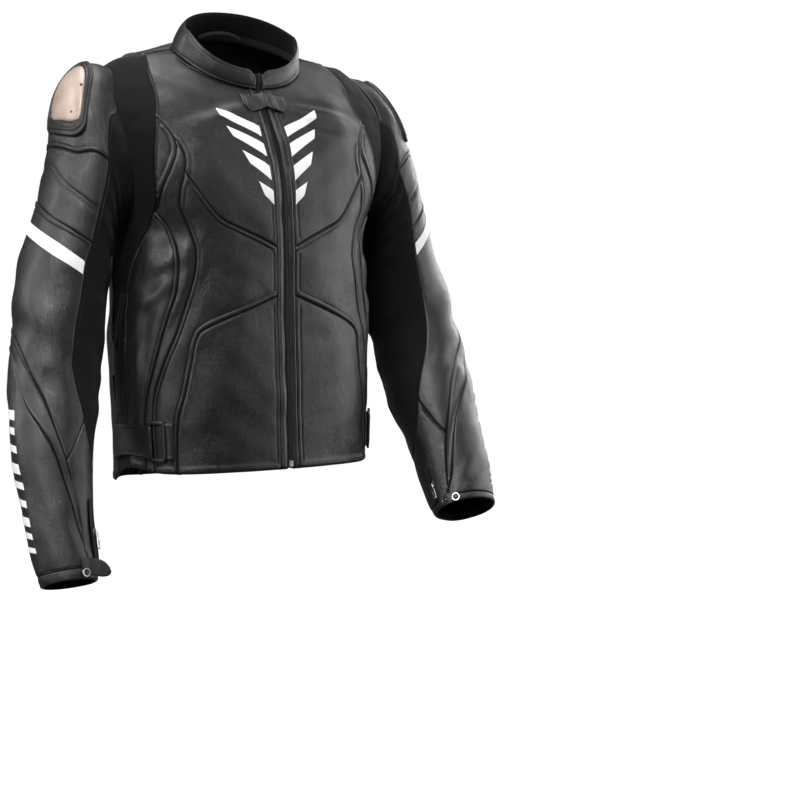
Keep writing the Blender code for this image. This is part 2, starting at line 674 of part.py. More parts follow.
def collar():
    """A stand collar: one padded band round the neck, open at the front."""
    base, top = np.array(TORSO[-1], float), np.array(COLLAR_TOP, float)
    start = math.degrees(math.asin(COLLAR_GAP / top[3])) + 0.3
    angles = np.linspace(start, 176, 19)
    verts, faces = [], []
    heights = np.array([0.0, 0.3, 0.65, 1.0])
    stations = [(a, RIGHT) for a in angles] + [(180.0, LEFT)] + [(a, LEFT) for a in angles[::-1]]
    for angle, side in stations:
        place = np.array([angle])
        foot, head = ring_point(base[None], place, side)[0], ring_point(top[None], place, side)[0]
        beside = ring_point(base[None], place + 1, side)[0] - ring_point(base[None], place - 1, side)[0]
        rise = (head - foot) / np.linalg.norm(head - foot)
        out = np.cross(beside, rise) * side
        out /= np.linalg.norm(out)
        foot = foot + rise * COLLAR_LIFT
        swell = COLLAR_WALL / 2 + COLLAR_SWELL * np.sin(np.pi * heights)
        edge = [foot + (head - foot) * h + out * s for h, s in zip(heights, swell)]
        edge += [head + rise * COLLAR_WALL * 0.4]
        edge += [foot + (head - foot) * h - out * (COLLAR_WALL / 2) for h in heights[::-1]]
        verts += edge
    size = len(heights) * 2 + 1
    for i in range(len(stations) - 1):
        for j in range(size):
            a, b = i * size + j, i * size + (j + 1) % size
            faces.append((a, b, b + size, a + size))
    faces.append(tuple(range(size))[::-1])
    faces.append(tuple(range((len(stations) - 1) * size, len(stations) * size)))
    return solid("collar", verts, faces, "leather")


def neck_tab():
    """The six-sided flap over the top of the zip: rows from its lower to its upper edge, over the zip."""
    lower = {-35: 7.75, -26: 7.3, -13: 7.42, 0: 7.6, 13: 7.42, 26: 7.3, 35: 7.75}
    across = sorted(lower)
    rows = 4
    grid = []
    for width in across:
        upper = 8.55 + 0.45 * math.exp(-(width / 16) ** 2)
        for t in np.linspace(0, 1, rows):
            level = lower[width] + (upper - lower[width]) * t
            angle = math.degrees(math.asin(abs(width) / along_rows(TORSO, np.array(level))[3]))
            place = np.array([[angle, level]])
            side = LEFT if width >= 0 else RIGHT
            point, norm = torso_form(place, side)[0], normals(torso_form, place, side)[0]
            if width == 0:
                norm = np.array([0, norm[1], norm[2]]) / np.hypot(norm[1], norm[2])
            grid.append((point, norm))
    return sheet_on("neck_tab", grid, len(across), rows, 2.6, 5.0, "rubber")


def sheet_on(name, grid, columns, rows, low, high, material):
    """A closed plate from a grid of points with normals, between two heights."""
    verts = [p + n * high for p, n in grid] + [p + n * low for p, n in grid]
    count = len(grid)
    faces = []
    for i in range(columns - 1):
        for j in range(rows - 1):
            a = i * rows + j
            quad = (a, a + rows, a + rows + 1, a + 1)
            faces += [quad, tuple(k + count for k in quad[::-1])]
    rim = [(i * rows, (i + 1) * rows) for i in range(columns - 1)]
    rim += [((columns - 1) * rows + j, (columns - 1) * rows + j + 1) for j in range(rows - 1)]
    rim += [((i + 1) * rows + rows - 1, i * rows + rows - 1) for i in range(columns - 1)[::-1]]
    rim += [(j + 1, j) for j in range(rows - 1)[::-1]]
    faces += [(b, a, a + count, b + count) for a, b in rim]
    return solid(name, verts, faces, material)


def buckle(name, side):
    """A rectangular loop over the waist strap: a bar carried round its four sides."""
    low, high, width = BUCKLE_BAR
    left, right, bottom, top = BUCKLE
    across, up = (left + right) / 2, (bottom + top) / 2
    corners = [(left, bottom), (across, bottom), (right, bottom), (right, up),
               (right, top), (across, top), (left, top), (left, up)]
    place = np.array(corners, float)
    points, norms = torso_form(place, side), normals(torso_form, place, side)
    middle = points.mean(0)
    verts, faces = [], []
    for p, n in zip(points, norms):
        inward = middle - p
        inward -= n * np.dot(inward, n)
        inward /= np.linalg.norm(inward)
        for a, b in ((0, low), (0, high), (width, high), (width, low)):
            verts.append(p + inward * a + n * b)
    count = len(points)
    for i in range(count):
        for j in range(4):
            a, b = i * 4 + j, i * 4 + (j + 1) % 4
            c, d = ((i + 1) % count) * 4 + (j + 1) % 4, ((i + 1) % count) * 4 + j
            faces.append((a, b, c, d))
    return solid(name, verts, faces, "plastic")


def short_zip(name, form, side, path, width, slider_at, low):
    """A zip chain along a line on a form, with its slider raised on it; returns the slider's place."""
    high, bump = ZIP_ON_PANEL
    dense = np.array(path, float)
    dense = along_rows(dense, np.linspace(0, len(dense) - 1, 60))
    points = form(dense, side)
    run = np.concatenate([[0], np.cumsum(np.linalg.norm(np.diff(points, axis=0), axis=1))])
    slider = run[-1] * slider_at
    steps = slider + SLIDER_LENGTH * np.array([-0.62, -0.5, 0.5, 0.62])
    stops = np.unique(np.concatenate([np.linspace(0, run[-1], 9), steps]))
    stops = stops[(np.abs(stops - slider) > SLIDER_LENGTH * 0.45)]
    even = np.stack([np.interp(stops, run, dense[:, i]) for i in range(2)], -1)
    points, norms = form(even, side), normals(form, even, side)
    sections = []
    for stop in stops:
        on_slider = abs(stop - slider) < SLIDER_LENGTH * 0.55
        sections.append(bar_section(width, low, bump if on_slider else high))
    sweep(name, points, norms, sections, "zip")
    at = np.array([[np.interp(slider, run, dense[:, i]) for i in range(2)]])
    return form(at, side)[0], normals(form, at, side)[0]


def pull_tab(name, pivot, across, hang, length):
    """A flat zip pull hanging from its pin, its origin on the pin."""
    across = across / np.linalg.norm(across)
    hang = hang / np.linalg.norm(hang)
    out = np.cross(hang, across)
    half = ((0.3, -1.2), (0.42, 0.6), (0.36, 4.0), (0.5, 7.0), (0.5, length - 3), (0.3, length))
    outline = half + tuple((-a, b) for a, b in half[::-1])
    verts = []
    for height in (-PULL_THICK / 2, PULL_THICK / 2):
        verts += [pivot + across * a * PULL_WIDTH + hang * b + out * height for a, b in outline]
    count = len(outline)
    faces = [tuple(range(count)), tuple(range(count, 2 * count))[::-1]]
    faces += [(i, (i + 1) % count, (i + 1) % count + count, i + count) for i in range(count)]
    return solid(name, verts, faces, "metal", pivot)


def cuff_tab(name, side):
    """The leather tab on the cuff, lying along it over the zip."""
    angles = np.linspace(*CUFF_TAB[0], 6)
    levels = np.linspace(*CUFF_TAB[1], 3)
    place = np.array([(a, lv) for a in angles for lv in levels])
    points, norms = sleeve_form(place, side), normals(sleeve_form, place, side)
    return sheet_on(name, list(zip(points, norms)), len(angles), len(levels), *CUFF_TAB[2], "leather")


for leftover in list(bpy.data.objects):
    bpy.data.objects.remove(leftover)

torso = torso_flat()
sleeve = sleeve_flat()
for side, word in ((RIGHT, "right"), (LEFT, "left")):
    for name, place, stretch in TORSO_PIECES:
        panel(name + "_" + word, torso, place, torso_form, side, stretch, TORSO_SCALE)
    for name, place, stretch in SLEEVE_PIECES:
        panel(name + "_" + word, sleeve, place, sleeve_form, side, stretch, SLEEVE_SCALE)
    panel("cuff_" + word, sleeve, (0, 13.7), sleeve_form, side, False, SLEEVE_SCALE)
    overlay("white_band_" + word, sleeve, (20, 6.5), sleeve_form, side, ON_PANEL, ON_PANEL + BAND_THICK,
            "white leather")
    overlay("shoulder_plate_" + word, sleeve, PLATE_MIDDLE, sleeve_form, side, ON_PANEL, ON_PANEL + PLATE_THICK,
            "plate", PLATE_DOME)
    overlay("shoulder_rim_" + word, sleeve, (0, 1.15), sleeve_form, side, ON_PANEL, ON_PANEL + RIM_THICK,
            "rubber", 0.0, PLATE_MIDDLE)
    overlay("waist_strap_" + word, torso, (75, 0.5), torso_form, side, ON_PANEL, ON_PANEL + STRAP_THICK,
            "leather")
    buckle("waist_buckle_" + word, side)
    cuff_tab("cuff_tab_" + word, side)
    slider, out = short_zip("pocket_zip_" + word, torso_form, side, POCKET, CHAIN_WIDTH["pocket"],
                            POCKET_SLIDER, ON_STRETCH)
    down, pin = np.array([0.0, 0.0, -1.0]), slider + out * PULL_HEIGHT
    pull_tab("pocket_pull_" + word, pin, np.cross(down, out), down, PULL_LENGTH["pocket"])
    slider, out = short_zip("cuff_zip_" + word, sleeve_form, side, CUFF_ZIP, CHAIN_WIDTH["cuff"],
                            CUFF_SLIDER, ON_PANEL)
    ahead = sleeve_form(np.array([[CUFF_ZIP[0][0], CUFF_ZIP[-1][1]]]), side)[0] - slider
    along = ahead - out * np.dot(ahead, out)
    pin = slider + out * PULL_HEIGHT
    pull_tab("cuff_pull_" + word, pin, np.cross(along, out), along, PULL_LENGTH["cuff"])
for name, place, stretch in BACK_PIECES:
    centre_panel(name, torso, place)
front_zip()
collar()
neck_tab()
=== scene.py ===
# Motorcycle racing jacket: the looks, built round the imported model.
# Shapes are worked out in millimetres and stored in metres; the wearer's right is at -X, the front at -Y.

import math

import bpy
import numpy as np
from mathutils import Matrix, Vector
from mathutils.geometry import delaunay_2d_cdt


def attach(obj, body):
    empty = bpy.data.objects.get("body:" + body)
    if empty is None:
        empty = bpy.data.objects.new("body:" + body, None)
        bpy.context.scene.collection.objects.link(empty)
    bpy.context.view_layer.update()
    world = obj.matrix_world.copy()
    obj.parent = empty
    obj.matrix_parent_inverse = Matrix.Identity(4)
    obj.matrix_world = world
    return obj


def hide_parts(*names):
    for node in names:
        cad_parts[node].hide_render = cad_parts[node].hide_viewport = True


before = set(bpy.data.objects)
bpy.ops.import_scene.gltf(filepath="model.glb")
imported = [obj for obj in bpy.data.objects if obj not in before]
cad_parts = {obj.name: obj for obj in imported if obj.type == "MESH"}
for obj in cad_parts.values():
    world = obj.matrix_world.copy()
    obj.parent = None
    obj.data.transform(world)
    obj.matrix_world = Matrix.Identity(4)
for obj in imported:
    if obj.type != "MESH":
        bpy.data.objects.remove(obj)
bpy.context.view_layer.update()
print("loaded the packed jacket")

right, left = -1, 1
sideNames = {right: "right", left: "left"}

# Cloth sizes, the same as in the solids
cloth = {
    "halfWall": 1.0,
    "halfStretch": 0.8,
    "swell": 0.9,           # a leather panel stands this much higher away from its seams
    "swellReach": 16.0,
    "onPanel": 2.2,         # height of whatever lies on a panel
    "seamGap": 0.22,        # how far each panel's edge stands back from the seam
    "lineStep": 4.6,        # spacing of the points along a seam
    "gridStep": 5.2,        # spacing of the points in a panel
    "rows": (0.8, 2.0, 3.6, 5.2, 6.3, 7.4, 9.4),   # distances of the rows of points beside a seam
}

# Torso rings from hem to neck seam: z_front, z_side, z_back, half_width, y_front, y_side, y_back, square
torsoRings = np.array((
    (-551, -556, -574, 185, -121, 5, 116, 2.35),
    (-468, -470, -474, 189, -118, 4, 114, 2.35),
    (-380, -380, -380, 193, -115, 2, 110, 2.35),
    (-300, -300, -298, 190, -113, 2, 112, 2.40),
    (-228, -226, -222, 186, -112, 4, 118, 2.45),
    (-165, -160, -150, 214, -107, 8, 122, 2.50),
    (-112, -100, -88, 234, -90, 10, 116, 2.50),
    (-76, -45, -30, 230, -72, 12, 102, 2.40),
    (-54, -3, 8, 188, -58, 14, 88, 2.20),
    (-43, 8, 26, 142, -50, 13, 78, 2.05),
    (-36, 12, 41, 96, -45, 11, 68, 2.00),
), float)
collarRing = np.array((-10, 42, 74, 86, -46, -6, 40, 2.2), float)
neckLevel = len(torsoRings) - 1
hemWaves = ((82, 16, 9), (112, 12, -8))     # on the right, under and behind the strap: degrees, width, rise
hemWaveTop = 1.3                            # the level where they have died out

# Sleeve rings from the armhole down: outer_x, outer_z, inner_x, inner_z, y, half_depth, lean, turn
sleeveRings = {
    right: np.array((
        (198, -9, 188, -220, 9, 67, 0, 0),
        (228, -8, 195, -221, 12, 72, 0, 0),
        (252, -28, 201, -225, 12, 70, 0, 0),
        (266, -65, 206, -232, 12, 68, 0, 0),
        (277, -110, 209, -241, 12, 67, 0, 0),
        (291, -160, 211, -254, 11, 66, 0, 0),
        (308, -212, 213, -272, 10, 65, 0, 0),
        (328, -266, 216, -295, 8, 64, 2, 0),
        (342, -336, 225, -354, 4, 62, 4, 0),
        (352, -397, 234, -413, -2, 60, 8, 0),
        (361, -453, 246, -467, -14, 58, 14, 0),
        (367, -525, 265, -535, -36, 51, 17, 0),
        (365, -597, 278, -603, -60, 44, 18, 0),
        (360, -653, 281, -657, -78, 41, 18, 0),
        (356, -681, 286, -684, -88, 38, 18, 0),
    ), float),
    left: np.array((
        (198, -9, 188, -220, 9, 67, 0, 0),
        (225, -15, 195, -221, 12, 72, 0, 0),
        (247, -38, 201, -225, 12, 70, 0, 0),
        (263, -67, 206, -231, 12, 68, 0, 1),
        (278, -99, 208, -239, 12, 67, 0, 1.5),
        (291, -137, 210, -248, 11.5, 66.5, 0, 3),
        (304, -180, 212, -261, 10.5, 65.5, 0, 5),
        (319, -232, 215, -281, 9, 64.5, 1.5, 7.5),
        (343, -315, 225, -336, 2.5, 63.5, 7, 15.5),
        (358, -393, 233, -395, -18, 63, 17, 28.5),
        (354, -463, 229, -457, -52, 60, 26, 40),
        (343, -533, 233, -527, -95, 52, 30, 43),
        (334, -588, 234, -582, -126, 47, 31, 44),
        (329, -614, 233, -606, -142, 43, 32, 45),
        (327, -628, 233, -620, -152, 39, 32, 45),
    ), float),
}
cuffLevel = len(sleeveRings[right]) - 1
cuffTop = 13.45
armhole = {"angle": 90.0, "front": 33.0, "back": 30.0, "level": 5.95, "reach": 1.85, "gap": (1.0, 1.6)}
armholeFade = (1.0, 0.8, 0.55, 0.3, 0.1)
torsoScale = np.array((3.0, 62.0))     # millimetres for each degree and each level, on the flat
sleeveScale = np.array((1.02, 44.0))


# Forms

def unit(vectors):
    # Vectors along the last axis, each made one long
    return vectors / np.linalg.norm(vectors, axis=-1, keepdims=True)


def splineAt(table, place):
    # Catmull-Rom curve through the rows of a table, the place being counted in rows
    table, place = np.asarray(table, float), np.asarray(place, float)
    last = len(table) - 1
    k = np.clip(np.floor(place).astype(int), 0, last - 1)
    t = (place - k)[..., None]
    here, after = table[k], table[k + 1]
    before = np.where((k > 0)[..., None], table[np.maximum(k - 1, 0)], 2 * here - after)
    beyond = np.where((k < last - 1)[..., None], table[np.minimum(k + 2, last)], 2 * after - here)
    return splineWeights(before, here, after, beyond, t)


def splineWeights(before, here, after, beyond, t):
    # The cubic that runs from here to after with the slopes of its neighbours
    return 0.5 * (2 * here + (after - before) * t + (2 * before - 5 * here + 4 * after - beyond) * t ** 2
                  + (3 * here - before - 3 * after + beyond) * t ** 3)


def ovalPoint(ring, angle, side):
    # A squared oval, |x/a|^n + |y/b|^n = 1, whose height follows its depth so that the ring tilts
    zFront, zSide, zBack, halfWidth, yFront, ySide, yBack, square = np.moveaxis(ring, -1, 0)
    s, c = np.sin(np.radians(angle)), np.cos(np.radians(angle))
    k = (np.abs(s) ** square + np.abs(c) ** square) ** (-1 / square)
    x = side * halfWidth * s * k
    y = ySide + np.where(c > 0, yFront - ySide, yBack - ySide) * np.abs(c) * k
    z = zSide + np.where(c > 0, zFront - zSide, zBack - zSide) * (np.abs(c) * k) ** 1.2
    return np.stack([x, y, z], -1)


def torsoForm(place, side):
    # The torso at (degrees from the front, level), with the waves of its hem on the right
    point = ovalPoint(splineAt(torsoRings, place[..., 1]), place[..., 0], side)
    fade = np.where(np.asarray(side) == right, np.clip(1 - place[..., 1] / hemWaveTop, 0, None) ** 2, 0)
    for middle, width, rise in hemWaves:
        point[..., 2] += rise * fade * np.exp(-((place[..., 0] - middle) / width) ** 2)
    return point


def armholePlace(turn):
    # The armhole as an oval on the torso form; turn 0 is its top, 90 its front
    s, c = np.sin(np.radians(turn)), np.cos(np.radians(turn))
    angle = armhole["angle"] - np.where(s > 0, armhole["front"], armhole["back"]) * s
    return np.stack([angle, armhole["level"] + armhole["reach"] * c], -1)


def sleeveOval(ring, turn, side):
    # An oval between the outer and the inner edge point, its depth leaning down to the front
    outerX, outerZ, innerX, innerZ, y, halfDepth, lean, twist = np.moveaxis(ring, -1, 0)
    outer = np.stack([outerX * side, y, outerZ], -1)
    inner = np.stack([innerX * side, y, innerZ], -1)
    half = (outer - inner) / 2
    length = np.linalg.norm(half, axis=-1, keepdims=True)
    down = np.stack([side * half[..., 2], 0 * y, -side * half[..., 0]], -1) / length
    lean = np.radians(lean)[..., None]
    front = np.cos(lean) * np.array([0.0, -1.0, 0.0]) - np.sin(lean) * down
    a = np.radians(turn + twist)[..., None]
    return (outer + inner) / 2 + np.cos(a) * half + halfDepth[..., None] * np.sin(a) * front


def sleeveForm(place, side):
    # The sleeve at (degrees from outer side to front, level): a spline of ovals that starts as the armhole
    turn, level = place[..., 0], place[..., 1]
    table = sleeveRings[side]
    last = len(table) - 1
    fade = np.zeros(len(table))
    fade[:len(armholeFade)] = armholeFade
    k = np.clip(np.floor(level).astype(int), 0, last - 1)
    t = (level - k)[..., None]
    clear = armhole["gap"][0] + armhole["gap"][1] * ((1 - np.cos(np.radians(turn))) / 2) ** 1.5
    start = torsoForm(armholePlace(turn), side) + clear[..., None] * np.array([side, 0, 0])
    shape = start - sleeveOval(np.broadcast_to(table[0], (*turn.shape, 8)), turn, side)

    def ring(i):
        i = np.clip(i, 0, last)
        return sleeveOval(table[i], turn, side) + fade[i][..., None] * shape

    here, after = ring(k), ring(k + 1)
    before = np.where((k > 0)[..., None], ring(k - 1), 2 * here - after)
    beyond = np.where((k < last - 1)[..., None], ring(k + 2), 2 * after - here)
    return splineWeights(before, here, after, beyond, t)


def surfaceAt(form, place, side):
    # Points and outward normals of a form; the normal is the cross product of its two slopes
    place = np.asarray(place, float)
    byAngle = form(place + [0.6, 0], side) - form(place - [0.6, 0], side)
    byLevel = form(place + [0, 0.02], side) - form(place - [0, 0.02], side)
    return form(place, side), unit(np.cross(byAngle, byLevel) * np.asarray(side)[..., None])


# Pattern: seams as points (degrees, level), the lines that each end runs out on, and how they are sewn.
# 'lap' is the side of the line that is folded over the other, 'stitch' the sides and distances of its stitches.
# Plus is to the left of the line as it is listed.

torsoSeams = {
    "front stretch": (None, "hem", (
        (95, 8.98), (78, 8.75), (60, 8.2), (47, 7.5), (43, 6.8), (45, 6.0), (50, 5.25), (55, 4.6),
        (65, 4.08), (75, 3.6), (82, 2.9), (83, 1.8), (84, 0.8), (84, -0.1))),
    "back stretch": (None, "hem", (
        (95, 8.98), (112, 8.7), (128, 7.9), (134, 7.0), (133, 6.0), (128, 5.1), (119, 4.4), (108, 3.7),
        (101, 2.9), (99, 1.8), (98, 0.8), (98, -0.1))),
    "armhole piece": ("front stretch", "front stretch", (
        (46, 7.05), (40, 6.55), (37, 6.1), (38, 5.7), (43, 5.25), (49, 4.85), (56, 4.42), (60, 4.3))),
    "inner band": ("armhole piece", "hem", (
        (39, 6.3), (36, 5.95), (35.5, 5.6), (38, 5.2), (43, 4.7), (45, 4.4), (43.5, 4.0), (41, 3.6),
        (41, 3.2), (43.5, 2.8), (49, 2.2), (56, 1.7), (62, 1.25), (64, 0.8), (64.5, -0.1))),
    "outer band": ("front stretch", "hem", (
        (62, 4.5), (56, 4.25), (51.5, 3.85), (48.5, 3.4), (49, 2.9), (52, 2.55), (56.5, 2.1), (62, 1.6),
        (67, 1.2), (69.5, 0.8), (70, -0.1))),
    "chest": ("inner band", "placket", (
        (40, 5.6), (35, 4.9), (33, 4.6), (29, 4.25), (21, 4.05), (12, 3.86), (1, 3.6))),
    "lower": ("placket", "hem", (
        (1, 2.86), (10, 2.7), (22, 2.5), (36, 2.26), (40, 2.08), (42.5, 1.7), (46, 1.25), (50, 0.8),
        (52, -0.1))),
    "yoke": ("back stretch", "back centre", (
        (126, 6.75), (140, 6.85), (155, 6.6), (170, 6.25), (185, 6.1))),
    "back panel": ("yoke", "hem", (
        (150, 7.1), (149, 6.2), (145, 5.2), (143, 4.2), (146, 3.2), (149, 2.2), (148, 1.2), (146, -0.1))),
}
torsoSewing = {
    "front stretch": {"lap": -1, "stitch": (-4.0,)},
    "back stretch": {"lap": 1, "stitch": (4.0,)},
    "armhole piece": {"lap": 1, "stitch": (6.3,)},
    "inner band": {"lap": -1, "stitch": (-6.3,)},
    "outer band": {"lap": 1, "stitch": (6.3,)},
    "chest": {"lap": 1, "stitch": (6.3,)},
    "lower": {"lap": 1, "stitch": (6.3,)},
    "yoke": {"lap": -1, "stitch": (-6.3,)},
    "back panel": {"lap": 1, "stitch": (6.3,)},
    "placket": {"lap": 1, "stitch": (-6.3,)},
    "hem": {"lap": 1, "stitch": (8.0,)},
    "neck": {"lap": 0, "stitch": (-3.6,)},
    "front edge": {"lap": 0, "stitch": ()},
    "back centre": {"lap": 0, "stitch": ()},
    "shoulder": {"lap": 1, "stitch": (3.6, -3.6)},
    "armhole": {"lap": 0, "stitch": ()},
}
torsoPanels = {
    "zip_placket": ((2.6, 5.0), False),
    "front_chest": ((20, 6.5), False),
    "front_armhole": ((44.5, 5.6), False),
    "front_band": ((45, 3.0), False),
    "front_middle": ((25, 3.2), False),
    "front_lower": ((25, 1.5), False),
    "front_side": ((72, 2.0), False),
    "side_stretch": ((90, 2.5), True),
    "back_side": ((125, 3.0), False),
}
backPanels = {"back_yoke": (165, 8.0), "back_centre": (165, 3.0)}

sleeveSeams = {
    "inner stretch": (None, "back seam end", (
        (67.5, 0), (71, 0.8), (83, 1.8), (92, 2.7), (90, 3.6), (85, 5.0), (86.5, 6.3), (86, 7.3),
        (83, 8.2), (84, 8.9),
        (90, 9.6), (106, 10.3), (128, 10.85), (165, 11.2), (215, 11.1), (272, 10.6))),
    "strip lower": ("back seam", "cuff seam", (
        (-92, 8.45), (-50, 8.6), (-20, 8.8), (4, 9.25), (22, 10.0), (42, 10.45), (62, 10.9), (77, 11.5),
        (90, 12.2), (100, 12.8), (105, 13.6))),
    "cap": ("back seam", "inner stretch", (
        (-92, 2.9), (-55, 3.75), (-14, 4.12), (20, 4.15), (45, 3.9), (84, 2.75), (104, 2.1))),
    "upper": ("back seam", "inner stretch", (
        (-92, 4.7), (-55, 5.15), (-20, 5.55), (12, 5.82), (40, 5.97), (95, 6.12))),
    "strip upper": ("back seam", "strip lower", (
        (-92, 7.9), (-50, 8.1), (-20, 8.35), (6, 8.68), (26, 9.2), (46, 9.85), (64, 10.5), (82, 11.15),
        (95, 11.85), (100, 12.5), (100, 13.2))),
    "elbow": ("strip upper", "inner stretch", ((74, 11.2), (90, 10.9), (112, 10.2))),
}
sleeveSewing = {
    "inner stretch": {"lap": -1, "stitch": (-4.0,)},
    "strip lower": {"lap": -1, "stitch": (-4.0,)},
    "cap": {"lap": -1, "stitch": (-6.3,)},
    "upper": {"lap": 1, "stitch": (6.3,)},
    "strip upper": {"lap": 1, "stitch": (4.0,)},
    "elbow": {"lap": 1, "stitch": (4.0,)},
    "cuff seam": {"lap": 0, "stitch": (-3.6,)},
    "cuff": {"lap": 0, "stitch": ()},
    "armhole": {"lap": 0, "stitch": ()},
    "back seam": {"lap": 0, "stitch": (-3.6,)},
    "back seam end": {"lap": 0, "stitch": ()},
}
quiltLines = (0.0, 5.6)       # the quilting is stitched twice, this far apart
sleeveQuilts = {
    "shoulder quilting": ("back seam", "inner stretch", (
        (-92, 4.02), (-55, 4.4), (-14, 4.56), (34, 4.97), (60, 5.0), (84, 4.9), (96, 4.8))),
}
sleevePanels = {
    "sleeve_cap": ((60, 1.2), False),
    "sleeve_upper": ((0, 4.8), False),
    "sleeve_elbow": ((40, 8.5), False),
    "forearm_strip": ((30, 9.7), False),
    "forearm_outer": ((0, 11.5), False),
    "forearm_inner": ((190, 12.4), False),
    "sleeve_stretch": ((180, 6.0), True),
    "cuff": ((0, 13.7), False),
}

# Outlines of what lies on the cloth
whiteBand = ((-88, 5.33), (-52, 5.72), (-18, 6.08), (14, 6.3), (46, 6.52), (82.5, 6.8),
             (83, 7.14), (46, 6.88), (14, 6.62), (-18, 6.38), (-52, 6.03), (-88, 5.66))
cupPlate = ((0, 1.35), (22, 1.6), (36, 2.2), (38, 2.85), (24, 3.3), (2, 3.42), (-20, 3.3), (-36, 2.85),
            (-36, 2.2), (-22, 1.6))
cupRim = ((0, 1.0), (28, 1.2), (46, 1.95), (50, 2.9), (34, 3.62), (4, 3.85), (-28, 3.62), (-48, 2.9),
          (-46, 1.95), (-28, 1.2))

# A plain design of stacked bars, the same on both sides of the zip: inner and outer degree, lower edge, height
chestBars = ((5.0, 19.5, 6.26, 0.4), (5.0, 16.0, 5.66, 0.38), (5.0, 12.5, 5.08, 0.36), (5.0, 9.0, 4.54, 0.32))
# Slanted bars down the forearm: first level, last level, degrees from and to, how many
forearmBars = {"first": 9.95, "last": 12.75, "from": -34.0, "to": 6.0, "count": 9, "share": 0.5}

# Creases, listed one by one: side (0 is both), height, width, points. A ridge has a trough on its left side.
torsoCreases = (
    (right, 4.6, 12, ((37, 3.95), (45, 3.62), (56, 3.4), (70, 3.5))),
    (right, 3.6, 9, ((43, 3.1), (52, 3.05), (64, 2.75), (78, 2.8))),
    (right, 2.6, 10, ((50, 3.9), (60, 3.75), (74, 3.9))),
    (right, -2.4, 11, ((58, 2.9), (66, 2.3), (70, 1.6))),
    (right, -2.6, 12, ((30, 3.5), (38, 3.1), (46, 2.5), (58, 2.1))),
    (right, 2.2, 8, ((66, 2.3), (72, 1.7), (76, 1.2))),
    (right, 2.0, 14, ((8, 7.9), (18, 7.1), (27, 6.6), (34, 6.2))),
    (left, -3.4, 13, ((6, 7.3), (14, 6.9), (24, 6.5), (34, 6.3))),
    (left, 2.6, 11, ((14, 7.9), (26, 7.3), (36, 6.8))),
    (left, 3.0, 11, ((38, 4.0), (46, 3.65), (58, 3.3), (72, 3.1))),
    (left, 2.4, 9, ((44, 3.0), (54, 2.7), (68, 2.5))),
    (0, 1.8, 20, ((16, 3.5), (20, 2.9), (22, 2.2), (24, 1.4))),
    (left, 1.8, 16, ((34, 2.0), (38, 1.3), (40, 0.7))),
    (right, 1.6, 18, ((30, 1.9), (33, 1.2), (36, 0.6))),
    (0, 3.0, 14, ((112, 4.3), (124, 4.6), (140, 4.75), (156, 4.6))),
    (right, 2.4, 12, ((106, 3.2), (120, 3.5), (138, 3.4))),
    (left, 2.6, 12, ((106, 3.0), (122, 3.2), (142, 3.0))),
    (0, -2.2, 16, ((132, 7.7), (140, 7.2), (147, 6.9))),
    (0, 2.6, 15, ((100, 2.6), (112, 2.2), (128, 2.1))),
    (0, 2.0, 18, ((158, 3.2), (166, 2.5), (172, 1.6))),
)
sleeveCreases = (
    (right, 4.2, 17, ((-58, 8.1), (-20, 7.7), (18, 7.75), (52, 8.3), (70, 8.9))),
    (right, -3.4, 15, ((-30, 7.3), (8, 7.25), (46, 7.5), (66, 7.9))),
    (right, 3.0, 13, ((30, 9.3), (50, 9.1), (66, 9.3), (80, 9.8))),
    (right, 2.2, 13, ((-50, 9.5), (-20, 9.7), (4, 10.4), (12, 11.2))),
    (right, 1.8, 10, ((40, 11.6), (64, 12.2), (84, 12.9))),
    (left, 4.6, 15, ((-30, 8.2), (10, 8.0), (44, 8.4), (72, 9.0))),
    (left, 4.0, 12, ((-10, 9.4), (26, 9.1), (56, 9.3), (78, 9.9))),
    (left, 3.2, 11, ((10, 10.2), (38, 9.95), (62, 10.2), (80, 10.7))),
    (left, -3.0, 14, ((-40, 7.3), (4, 7.3), (44, 7.5))),
    (left, 2.2, 11, ((20, 11.6), (52, 11.9), (84, 12.5))),
    (0, 3.0, 12, ((88, 2.2), (120, 2.6), (160, 2.7), (200, 2.4))),
    (0, 3.2, 13, ((86, 3.6), (124, 4.0), (168, 4.1), (220, 3.7))),
    (0, 2.6, 12, ((84, 5.0), (120, 5.3), (170, 5.5), (230, 5.2))),
    (left, 3.6, 13, ((96, 8.0), (130, 8.3), (175, 8.4), (226, 8.1))),
    (left, 3.4, 12, ((98, 8.9), (135, 9.2), (180, 9.3), (232, 9.0))),
    (left, 2.8, 12, ((104, 9.8), (140, 10.1), (186, 10.15), (232, 9.9))),
    (right, 1.7, 14, ((92, 7.9), (118, 8.1), (150, 8.5), (196, 8.6))),
    (right, 1.5, 12, ((94, 8.8), (128, 9.2), (168, 9.3), (214, 9.1))),
    (right, 1.3, 14, ((104, 9.9), (138, 10.1), (180, 10.1))),
    (0, 2.0, 14, ((110, 6.6), (150, 6.8), (200, 6.8))),
    (0, 1.8, 15, ((30, 3.3), (46, 2.6), (54, 1.9))),
    (0, 2.0, 13, ((-62, 6.9), (-40, 7.0), (-14, 6.9))),
)


# Pattern cutting on the flat

def evenly(points, step):
    # The same line with even spacing, by its running length
    run = np.concatenate([[0], np.cumsum(np.linalg.norm(np.diff(points, axis=0), axis=1))])
    even = np.linspace(0, run[-1], max(1, round(run[-1] / step)) + 1)
    return np.stack([np.interp(even, run, points[:, i]) for i in range(points.shape[1])], -1)


def smoothLine(points, scale):
    # A dense spline through a few points, in flat millimetres
    points = np.asarray(points, float) * scale
    return splineAt(points, np.linspace(0, len(points) - 1, 40 * len(points)))


